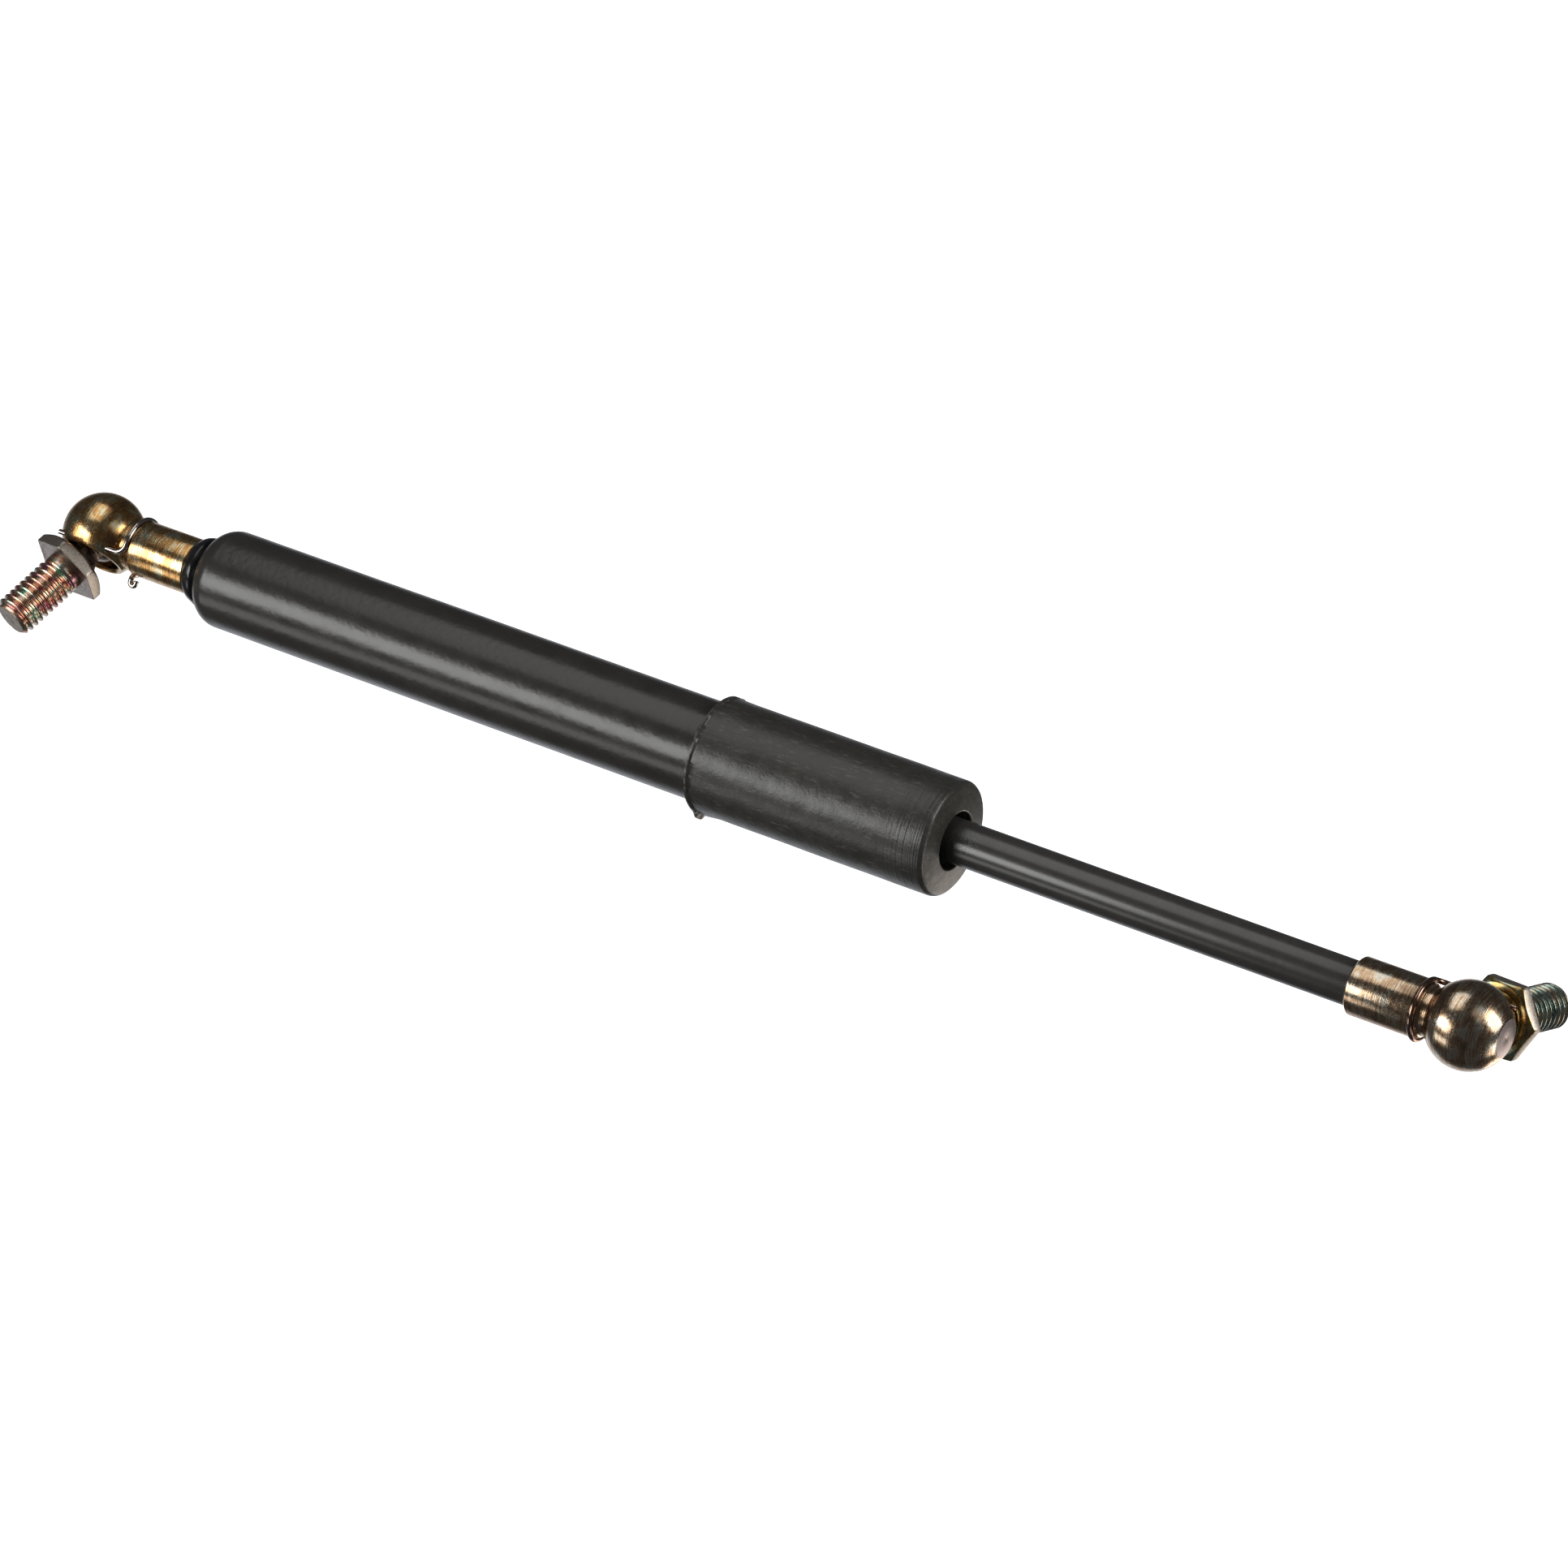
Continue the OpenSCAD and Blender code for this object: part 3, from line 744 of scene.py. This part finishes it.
# %% Turn points and faces into a piece
def mesh_of(name, shells, materials, sharp_over=32):
    """One mesh from shells of (points in mm, faces, material number), smooth but for its sharp edges."""
    work = bmesh.new()
    for points, faces, number in shells:
        corners = [work.verts.new(Vector(p) * MM) for p in points]
        for face in faces:
            made = work.faces.new([corners[i] for i in face])
            made.material_index = number
            made.smooth = True
    bmesh.ops.remove_doubles(work, verts=work.verts, dist=0.0005 * MM)
    bmesh.ops.recalc_face_normals(work, faces=work.faces)
    mesh = bpy.data.meshes.new(name)
    work.to_mesh(mesh)
    work.free()
    for material in materials:
        mesh.materials.append(material)
    mesh.set_sharp_from_angle(angle=math.radians(sharp_over))
    return mesh


def new_piece(name, mesh, place, body, slot, *nodes):
    """Puts a mesh in place as a piece that stands for its CAD nodes and rides on their body."""
    piece = bpy.data.objects.new(name, mesh)
    bpy.context.scene.collection.objects.link(piece)
    piece.matrix_world = place
    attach(piece, body)
    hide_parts(*nodes)
    print(f"{name}: {len(mesh.vertices)} points, {len(mesh.polygons)} faces")


HERE = Matrix.Identity(4)
print("piece helpers ready")

# %% [markdown]
# ## The pressure tube
#
# The tube is drawn steel, 1.2 mm thick. One end is spun closed to a round shoulder, and the other is
# rolled in over the guide once the strut is filled. Spinning leaves the shoulder a little uneven, so the
# wall here waves by a few hundredths of a millimetre, enough to bend the long reflections.

# %% Spin the tube
WALL = 1.2
SHOULDER = 4.6
FLOOR = 2.0
WELD_HOLE = 3.62
RIM = 0.8
RIM_REACH = 1.1
WAVE = 0.035
PAINT_SUNK = 0.015
bore = tube_radius - WALL
rim_hole = bore - RIM_REACH


def drawn_wall(x, r, angle):
    """The slight waves that drawing and spinning leave in the tube's wall."""
    if r < bore + 0.3:
        return x, r
    wave = noise.noise(Vector((x * 0.045, 1.3 * math.cos(angle), 1.3 * math.sin(angle))))
    return x, r + WAVE * wave - PAINT_SUNK


inner = SHOULDER - WALL
tube_length = tube_high.x - tube_low.x
tube_outline = (
    [(tube_low.x, WELD_HOLE, 0)]
    + arc(tube_low.x + SHOULDER, tube_radius - SHOULDER, SHOULDER, 180, 90, 20)
    + [(tube_low.x + SHOULDER + 4 * k, tube_radius, 0) for k in range(1, int(tube_length / 4) - 1)]
    + [(tube_high.x, tube_radius, RIM), (tube_high.x, rim_hole, 0.2), (tube_high.x - WALL, rim_hole, 0)]
    + [(tube_high.x - WALL, bore, 0)]
    + arc(tube_low.x + FLOOR + inner, bore - inner, inner, 90, 180, 12)
    + [(tube_low.x + FLOOR, WELD_HOLE, 0)]
)
tube_points = spin(eased(tube_outline), around=128, closed=True, shape=drawn_wall)
tube_mesh = mesh_of("pressure_tube_enamelled", [(*tube_points, 0)], [enamel])
new_piece("pressure_tube_enamelled", tube_mesh, HERE, "tube", "tube_paint", "pressure_tube")

# %% [markdown]
# ## The locking ring
#
# The black ring between the socket and the tube is squeezed as the socket is screwed home. It swells out
# between the two, and has been pinched out into a small beak underneath.

# %% Spin the ring with its beak
BEAK_AT = math.radians(231)
BEAK_OUT = 0.55
RING_BORE = 4.75
RING_LIMIT = 7.0
shank_radius = 5.2
shank_end = socket_high.x


def squeezed(x, r, angle):
    """Lets the ring bulge unevenly, with a beak where it was pinched."""
    if r < shank_radius + 0.1:
        return x, r
    away = math.remainder(angle - BEAK_AT, 2 * math.pi)
    beak = math.exp(-((away / 0.11) ** 2)) * max(0.0, (x - ring_low.x - 0.9) / 1.6)
    bulge = noise.noise(Vector((1.4 * math.cos(angle), 1.4 * math.sin(angle), x * 0.6)))
    return x + 0.03 * bulge, min(r + 0.07 * bulge + BEAK_OUT * beak, RING_LIMIT)


ring_corners = [
    (ring_low.x, RING_BORE, 0),
    (ring_low.x, shank_radius + 0.10, 0.12),
    (ring_low.x + 0.35, shank_radius + 0.52, 0.3),
    (ring_low.x + 1.1, shank_radius + 0.92, 0.5),
    (ring_low.x + 1.9, shank_radius + 1.06, 0.3),
    (ring_low.x + 2.3, shank_radius + 1.00, 0.25),
    (ring_high.x - 0.08, shank_radius + 0.40, 0.2),
    (ring_high.x, RING_BORE, 0),
]
ring_points = spin(eased(ring_corners, 5), around=160, closed=True, shape=squeezed)
ring_mesh = mesh_of("locking_ring_squeezed", [(*ring_points, 0)], [glossy_rubber], 50)
new_piece("locking_ring_squeezed", ring_mesh, HERE, "tube", "black_rubber", "locking_ring")

# %% [markdown]
# ## The protective sleeve
#
# The sleeve is a soft cap pushed over the tube's open end. It was moulded in a warm tool that didn't shut
# tight, so a ragged lip of flash about a millimetre wide stands round its open edge and curls into a hook
# underneath. Its end face is crowned by less than a millimetre, with a well rounded rim and a hole that is
# wider than the rod.

# %% Spin the sleeve with its flash
HOOK_AT = math.radians(236)
FACE = 3.0
CROWN = 0.45
SLEEVE_HOLE = 5.2
FLASH_ZONE = 1.9
WALL_SUNK = 0.03
FIT = 0.02
sleeve_bore = tube_radius + FIT
edge_x = sleeve_low.x + 0.5


def ragged(x, r, angle):
    """Waves the sleeve's wall, and tears and curls the flash along its open edge."""
    across, up = math.cos(angle), math.sin(angle)
    if r < sleeve_bore + 0.05 or x > sleeve_high.x - CROWN and r < sleeve_radius - 1.5:
        return x, r
    wall = 0.05 * noise.noise(Vector((x * 0.12, 1.8 * across, 1.8 * up)))
    from_edge = x - edge_x
    if from_edge > FLASH_ZONE:
        return x, r + wall - WALL_SUNK
    share = 1 - from_edge / FLASH_ZONE
    slow = noise.noise(Vector((2.1 * across, 2.1 * up, 3.0)))
    fast = noise.noise(Vector((9.0 * across, 9.0 * up, 7.0)))
    hook = math.exp(-((math.remainder(angle - HOOK_AT, 2 * math.pi) / 0.16) ** 2))
    stand = 0.34 + 0.34 * slow + 0.22 * fast + 0.8 * hook
    on_crest = 1.0 if 0.15 < from_edge < 0.75 and r > sleeve_radius - 0.2 else 0.25
    lip = on_crest * max(0.0, stand) if r > sleeve_bore + 0.3 else 0.0
    lean = share * (0.6 * slow + 0.34 * fast - 0.5 * hook)
    return x + lean, r + wall - WALL_SUNK + lip


sleeve_corners = (
    [(edge_x, sleeve_bore, 0), (edge_x, sleeve_radius - 0.35, 0)]
    + [(edge_x + 0.2, sleeve_radius, 0), (edge_x + 0.5, sleeve_radius + 0.02, 0)]
    + [(edge_x + 0.7, sleeve_radius, 0), (edge_x + 0.95, sleeve_radius - 0.02, 0)]
    + [(edge_x + FLASH_ZONE + 3.0 * k, sleeve_radius, 0) for k in range(15)]
    + [(sleeve_high.x - 0.2, sleeve_radius, 1.1), (sleeve_high.x + CROWN, SLEEVE_HOLE, 0.4)]
    + [(sleeve_high.x - FACE, SLEEVE_HOLE, 0), (sleeve_high.x - FACE, sleeve_bore, 0)]
)
sleeve_points = spin(eased(sleeve_corners, 6), around=240, closed=True, shape=ragged)
sleeve_mesh = mesh_of("protective_sleeve_moulded", [(*sleeve_points, 0)], [soft_plastic], 45)
new_piece("protective_sleeve_moulded", sleeve_mesh, HERE, "tube", "sleeve_plastic", "protective_sleeve")

# %% [markdown]
# ## The piston rod
#
# The rod is ground bar. One end is turned down to carry the piston and riveted over, and the other is
# threaded into its socket. Its long side is perfectly straight, so it only needs a clean spin.

# %% Spin the rod
disc_high = box_mm("stop_disc")[1]
washer_low = box_mm("piston_washer")[0]
rod_seat_x = box_mm("rod_end_socket")[0].x
TENON = 2.5
RIVET = 3.5
ROD_THREAD = 2.98
rod_corners = [
    (rod_low.x, 0, 0),
    (rod_low.x, RIVET, 0.8),
    (washer_low.x - FIT, RIVET, 0.1),
    (washer_low.x - FIT, TENON, 0),
    (disc_high.x + FIT, TENON, 0),
    (disc_high.x + FIT, rod_radius, 0.4),
    (rod_seat_x - FIT, rod_radius, 0.1),
    (rod_seat_x - FIT, ROD_THREAD, 0),
    (rod_high.x, ROD_THREAD, 0.5),
    (rod_high.x, 0, 0),
]
rod_mesh = mesh_of("piston_rod_ground", [(*spin(eased(rod_corners)), 0)], [rod_black])
new_piece("piston_rod_ground", rod_mesh, HERE, "rod", "rod_finish", "piston_rod")

# %% [markdown]
# ## The ball sockets
#
# A socket is turned from bar: a round head, a neck for the clip and a straight shank. A cutter then
# bores the cup from the side until the ball just snaps in, and a drill makes the cross hole for the
# clip's leg. The same steps are followed here: spin the outside, then take the cup, the mouth and the
# hole away. Last comes the easing of the cut edges, which gives the mouth its thin bright line.

# %% Turn the outside of a socket
FACET = 0.8
NECK_LEN = 2.9
NECK_DEPTH = 0.45
GROOVE = 4.35
GROOVE_FOOT, GROOVE_TOP = 1.45, 1.25
CHAMFER = 0.35
neck_radius = shank_radius - NECK_DEPTH
facet_x = socket_low.x
head_radius_mm = FACET - facet_x
facet_angle = math.degrees(math.acos(facet_x / head_radius_mm))
neck_start = math.sqrt(head_radius_mm**2 - neck_radius**2)
groove_x = math.sqrt(head_radius_mm**2 - GROOVE**2)
groove_angle = math.degrees(math.asin(GROOVE / head_radius_mm))
shank_start = neck_start + NECK_LEN
socket_corners = (
    [(facet_x + 0.3, 0, 0), (facet_x, 0.32, 0)]
    + arc(0, 0, head_radius_mm, facet_angle, groove_angle, 40)
    + [(groove_x + CHAMFER, GROOVE, 0.3), (shank_start - GROOVE_FOOT, GROOVE, 0.1)]
    + [(shank_start - GROOVE_TOP, neck_radius, 0), (shank_start, neck_radius, 0)]
    + [(shank_start, shank_radius, 0.12), (shank_end - CHAMFER, shank_radius, 0.1)]
    + [(shank_end, shank_radius - CHAMFER, 0.1), (shank_end, 0, 0)]
)
socket_shell = spin(eased(socket_corners, 3), around=112)
print(f"head {2 * head_radius_mm:.2f} mm across, neck {neck_start:.2f} to {shank_start:.2f} mm")

# %% Make the cutters
CUP = 5.03
MOUTH = 4.8
MOUTH_EDGE = 0.45
LEG_ANGLE = math.radians(130.0)
LEG_RADIUS = 5.63
WIRE = 0.5
LEG_PLAY = 0.08
THREAD_HOLE, THREAD_DEPTH = 3.0, 10.3
PAST = 1.0
far = 3 * head_radius_mm


def cutter(name, shell, turn=HERE):
    """A hidden solid that a Boolean takes away."""
    solid = bpy.data.objects.new(name, mesh_of(name, [(*shell, 0)], []))
    bpy.context.scene.collection.objects.link(solid)
    solid.matrix_world = turn
    return solid


# The cup's arc stops a hair short of its widest circle, where the straight bore to the mouth begins.
cup_end = math.degrees(math.acos(0.02))
cup_corners = arc(0, 0, CUP, 180, cup_end, 24) + [
    (MOUTH - MOUTH_EDGE, CUP, 0),
    (MOUTH + PAST, CUP + MOUTH_EDGE + PAST, 0),
    (MOUTH + PAST, 0, 0),
]
to_mouth = Matrix.Rotation(math.radians(-90), 4, "Z")
mouth_box = (
    [(x, y, z) for x in (-far, neck_start + 0.5) for y in (-far, -MOUTH) for z in (-far, far)],
    [(0, 1, 3, 2), (4, 6, 7, 5), (0, 4, 5, 1), (2, 3, 7, 6), (0, 2, 6, 4), (1, 5, 7, 3)],
)


def drill(start, end, radius):
    """The outline of a drill along the X axis."""
    return [(start, 0), (start, radius), (end, radius), (end, 0)]


thread_hole = drill(shank_end - THREAD_DEPTH, shank_end + PAST, THREAD_HOLE)
leg_hole = drill(-far, shank_start - 1.2, WIRE + LEG_PLAY)
leg_line = Matrix.Translation(
    Vector((0, LEG_RADIUS * math.cos(LEG_ANGLE), LEG_RADIUS * math.sin(LEG_ANGLE))) * MM
)
print("cutters: cup, mouth, thread hole and leg hole")

# %% Cut the sockets
EDGE = 0.09


def cut_socket(end, outside, pole):
    """Takes the cup, the mouth and the holes out of a turned socket, and eases the cut edges."""
    blank = cutter("socket_blank", socket_shell)
    blank.data.materials.append(outside)
    blank.data.materials.append(pole)
    for face in blank.data.polygons:
        on_pole = abs(face.center.x / MM - facet_x) < 0.01
        face.material_index = 1 if on_pole else 0
    solids = [
        cutter("mouth_cutter", mouth_box),
        cutter("cup_cutter", spin(eased(cup_corners), around=112), to_mouth),
        cutter("thread_cutter", spin(thread_hole, around=64)),
        cutter("leg_cutter", spin(leg_hole, around=32), leg_line),
    ]
    for solid in solids:
        cut = blank.modifiers.new(solid.name, "BOOLEAN")
        cut.operation = "DIFFERENCE"
        cut.solver = "EXACT"
        cut.object = solid
    ease = blank.modifiers.new("eased_edges", "BEVEL")
    ease.width = EDGE * MM
    ease.segments = 2
    ease.limit_method = "ANGLE"
    ease.angle_limit = math.radians(38)
    ease.use_clamp_overlap = False
    bpy.context.view_layer.update()
    seen = blank.evaluated_get(bpy.context.evaluated_depsgraph_get())
    mesh = bpy.data.meshes.new_from_object(seen)
    mesh.name = f"{end}_socket_turned"
    for face in mesh.polygons:
        face.use_smooth = True
    mesh.set_sharp_from_angle(angle=math.radians(32))
    for leftover in [blank, *solids]:
        bpy.data.objects.remove(leftover)
    return mesh


socket_bodies = {"tube_end": "tube", "rod_end": "rod"}
for end, zinc in (("tube_end", gold_zinc), ("rod_end", bronze_zinc)):
    mesh = cut_socket(end, zinc, facet_zinc)
    new_piece(mesh.name, mesh, socket_place(end), socket_bodies[end], "passivated_zinc", f"{end}_socket")

# %% [markdown]
# ## The safety clips
#
# A clip is bent from a millimetre of hard spring wire. It grips the neck as an open ring, then one leg
# turns back and runs under the ball so that the stud can't pull out, and its other end is folded into a
# small tail to pry it by. The wire is swept along its centre line with both ends cut square.

# %% Sweep a wire
CUT_SHARE = 0.75


def sweep(path, radius, around=20):
    """Points and faces of a round wire along a path in mm, with slightly rounded square ends."""
    points, faces, rings = [], [], []
    turn = (path[1] - path[0]).normalized()
    side = turn.orthogonal().normalized()
    last = len(path) - 1
    spots = [(path[0], 0.0), (path[0], CUT_SHARE)] + [(p, 1.0) for p in path]
    spots += [(path[-1], CUT_SHARE), (path[-1], 0.0)]
    ease = 0.18 * radius
    for k, (spot, share) in enumerate(spots):
        i = min(max(k - 2, 0), last)
        ahead = path[min(i + 1, last)] - path[max(i - 1, 0)]
        ahead.normalize()
        side = (side - ahead * side.dot(ahead)).normalized()
        other = ahead.cross(side)
        spot = spot - ahead * (ease if k < 2 else 0) + ahead * (ease if k >= len(spots) - 2 else 0)
        if share == 0.0:
            rings.append([len(points)] * around)
            points.append(tuple(spot))
            continue
        rings.append(range(len(points), len(points) + around))
        for n in range(around):
            a = 2 * math.pi * n / around
            points.append(tuple(spot + (side * math.cos(a) + other * math.sin(a)) * radius * share))
    for low, high in zip(rings, rings[1:]):
        for n in range(around):
            m = (n + 1) % around
            corners = [low[n], low[m], high[m], high[n]]
            ring = [c for i, c in enumerate(corners) if c != corners[i - 1]]
            if len(ring) > 2:
                faces.append(ring)
    return points, faces


print("wire", 2 * WIRE, "mm thick")

# %% Bend the clip
TAIL_ANGLE = math.radians(-153.0)
TAIL_BEND, TAIL_RISE, TAIL_FOLD = 0.8, 0.4, 0.6
CLIP_PLAY = 0.1
LEG_OUT = 0.75
ring_radius = neck_radius + FIT + WIRE
bend = math.sqrt(LEG_RADIUS**2 - ring_radius**2)
ring_end = LEG_ANGLE - math.atan(bend / ring_radius)
clip_x = shank_start - WIRE - CLIP_PLAY
leg_tip = -math.sqrt(head_radius_mm**2 - LEG_RADIUS**2) - LEG_OUT


def turned_by(angle, x, y, z):
    """A point turned about the X axis from +Y towards +Z."""
    c, s = math.cos(angle), math.sin(angle)
    return Vector((x, y * c - z * s, y * s + z * c))


def quarter(steps=8):
    """Angles of a quarter turn."""
    return [math.pi / 2 * k / steps for k in range(steps + 1)]


clip_path = [turned_by(ring_end, leg_tip, ring_radius, bend)]
clip_path += [
    turned_by(ring_end, clip_x - bend + bend * math.sin(a), ring_radius, bend * math.cos(a))
    for a in quarter(10)
]
RING_STEPS = 72
ring_turn = TAIL_ANGLE - ring_end
clip_path += [
    turned_by(ring_end + ring_turn * k / RING_STEPS, clip_x, ring_radius, 0) for k in range(1, RING_STEPS)
]
foot = ring_radius + TAIL_BEND
clip_path += [
    turned_by(TAIL_ANGLE, clip_x, foot - TAIL_BEND * math.cos(a), -TAIL_BEND * math.sin(a)) for a in quarter()
]
clip_path += [
    turned_by(
        TAIL_ANGLE,
        clip_x + TAIL_FOLD * (1 - math.cos(2 * a)),
        foot + TAIL_RISE + TAIL_FOLD * math.sin(2 * a),
        -TAIL_BEND,
    )
    for a in quarter()
]
clip_path.append(turned_by(TAIL_ANGLE, clip_x + 2 * TAIL_FOLD, foot, -TAIL_BEND))
for end in ("tube_end", "rod_end"):
    wire_mesh = mesh_of(f"{end}_clip_bent", [(*sweep(clip_path, WIRE), 0)], [spring_wire[end]], 40)
    new_piece(wire_mesh.name, wire_mesh, socket_place(end), socket_bodies[end], "clip_wire", f"{end}_clip")

# %% [markdown]
# ## The ball studs
#
# A stud is one piece: ball, neck, collar, hexagon and an M8 thread with a pitch of 1.25 mm. The thread is
# built as a true helix. A helix is one outline of crest and root that moves on by a pitch with each turn,
# so the points are laid out along it and the last column of a turn joins the first column of the next.

# %% Spin the ball and neck
HEX_THICK = 2.5
HEX_FLATS = 13.0
STUD_REACH = 10.0
THREAD_LEN = 14.0
NECK = 2.7
COLLAR = 4.9
hex_corner = HEX_FLATS / math.sqrt(3)
hex_start = STUD_REACH - HEX_THICK
hex_face = HEX_FLATS / 2 - 0.4
neck_at_ball = math.sqrt(ball_radius_mm**2 - NECK**2)
core_corners = (
    arc(0, 0, ball_radius_mm, 180, math.degrees(math.asin(NECK / ball_radius_mm)), 40)
    + [(neck_at_ball + 0.35, NECK, 0.3), (hex_start - 0.6, 4.0, 0.15), (hex_start - 0.4, COLLAR, 0.12)]
    + [(hex_start + 0.1, COLLAR, 0), (hex_start + 0.1, 0, 0)]
)
core_shell = spin(eased(core_corners), around=96)
print("neck leaves the ball at", round(neck_at_ball, 2), "mm")

# %% Shape the hexagon
HEX_HOLE = 3.0
CORNER_CHAMFER = 0.9
SIDE_ROW = 3


def hexagon(per_side=20):
    """The points of a chamfered hexagon, the faces of its headed sides and those of its faced ends."""
    slope = (hex_corner - hex_face) / CORNER_CHAMFER
    around = 6 * per_side
    ease = 0.07
    rings = [[] for _ in range(7)]
    for k in range(around):
        angle = 2 * math.pi * k / around
        off = math.remainder(angle, math.pi / 3)
        wall = min(HEX_FLATS / 2 / math.cos(off), hex_corner - 0.05)
        wall_start = hex_start + (wall - hex_face) / slope
        outline = [
            (hex_start, HEX_HOLE),
            (hex_start, hex_face),
            (wall_start - ease, wall - ease * slope * 0.9),
            (wall_start + ease, wall),
            (STUD_REACH - ease, wall),
            (STUD_REACH, wall - ease),
            (STUD_REACH, HEX_HOLE),
        ]
        for ring, (x, r) in zip(rings, outline):
            ring.append((x, r * math.cos(angle), r * math.sin(angle)))
    points = [p for ring in rings for p in ring]
    sides, ends = [], []
    for row in range(len(rings)):
        low, high = row * around, (row + 1) % len(rings) * around
        faces = sides if row == SIDE_ROW else ends
        faces += [(low + k, low + (k + 1) % around, high + (k + 1) % around, high + k) for k in range(around)]
    return points, sides, ends


print("hexagon", round(2 * hex_corner, 2), "mm over its corners")

# %% Roll the thread
PITCH = 1.25
CREST, ROOT, PLAIN = 4.0, 3.26, 3.78
RUN_OUT = 1.3
TIP_CHAMFER = 0.95
TIP_ROUGH = 0.05
thread_start, thread_end = STUD_REACH + RUN_OUT, STUD_REACH + THREAD_LEN
PROFILE = [(0.0, 1.0), (0.06, 1.0), (0.12, 0.96), (0.30, 0.42), (0.44, 0.06), (0.50, 0.0)]
PROFILE += [(0.62, 0.0), (0.68, 0.06), (0.82, 0.42), (0.96, 0.96)]


def thread_shell(around=72):
    """A rolled thread that fades in after the plain neck and ends in a chamfered, rough tip."""
    per_pitch = len(PROFILE)
    first_x = STUD_REACH - 0.3
    pitches = math.ceil((thread_end - first_x + ROOT) / PITCH) + 1
    rows = pitches * per_pitch
    points = []
    for row in range(rows):
        turn_share, height = PROFILE[row % per_pitch]
        for k in range(around):
            x = first_x + PITCH * (row // per_pitch + turn_share + k / around - 1)
            fade = min(1.0, max(0.0, (x - thread_start) / PITCH))
            rolled = ROOT + (CREST - ROOT) * height
            r = PLAIN + (rolled - PLAIN) * fade
            r = min(r, CREST - TIP_CHAMFER + max(0.0, thread_end - x))
            past = max(0.0, x - thread_end)
            r = max(0.0, r - past * 1.2)
            rough = TIP_ROUGH * noise.noise(Vector((k * 0.31, row * 0.47, 2.0))) if past > 0 else 0.0
            angle = 2 * math.pi * k / around
            px = min(max(x, first_x), thread_end + rough)
            points.append((px, r * math.cos(angle), r * math.sin(angle)))
    faces = []
    for row in range(rows - per_pitch - 1):
        for k in range(around):
            here, above = row * around + k, (row + 1) * around + k
            if k < around - 1:
                faces.append((here, here + 1, above + 1, above))
            else:
                lifted = (row + per_pitch) * around
                faces.append((here, lifted, lifted + around, above))
    return points, faces


print("thread M8 x", PITCH, "from", thread_start, "to", thread_end, "mm")

# %% Put the studs together
SEAT, THREAD, HEADED = 0, 1, 2
TIP_FACE = 0.12
for end in ("tube_end", "rod_end"):
    hex_points, hex_sides, hex_ends = hexagon()
    shells = [
        (*core_shell, SEAT),
        (hex_points, hex_ends, SEAT),
        (hex_points, hex_sides, HEADED),
        (*thread_shell(), THREAD),
    ]
    finishes = [seat_zinc[end], thread_zinc[end], headed_zinc]
    stud_mesh = mesh_of(f"{end}_ball_stud_threaded", shells, finishes, 40)
    for face in stud_mesh.polygons:
        if face.center.x / MM > thread_end - TIP_FACE:
            face.material_index = HEADED
    new_piece(
        stud_mesh.name, stud_mesh, stud_place(end), f"{end}_ball_stud", "passivated_zinc", f"{end}_ball_stud"
    )

# %% [markdown]
# ## The inner parts
#
# The seals, washers, guide and piston are right as the CAD has them, so each keeps its shape and only
# takes the finish of its own making.

# %% Finish the inner parts
INNER = {
    "tube_end_stud": bright_steel,
    "stop_ring": bright_steel,
    "rod_seal": seal_rubber,
    "seal_washer": white_plastic,
    "rod_guide": bronze,
    "guide_bush": bright_steel,
    "guide_o_ring": seal_rubber,
    "end_washer": bright_steel,
    "stop_disc": bright_steel,
    "piston": bronze,
    "piston_ring": white_plastic,
    "orifice_disc": bright_steel,
    "piston_washer": bright_steel,
}
for node, material in INNER.items():
    mesh = frame["nodes"][node].data
    mesh.materials.clear()
    mesh.materials.append(material)
print("finished", len(INNER), "inner parts")

# %% [markdown]
# ## The CAD box
#
# The last cell prints the box of the CAD model, in millimetres.

# %% Print the CAD box
print("CAD box   ", [round(v / MM, 2) for v in (*cad_low, *cad_high)])
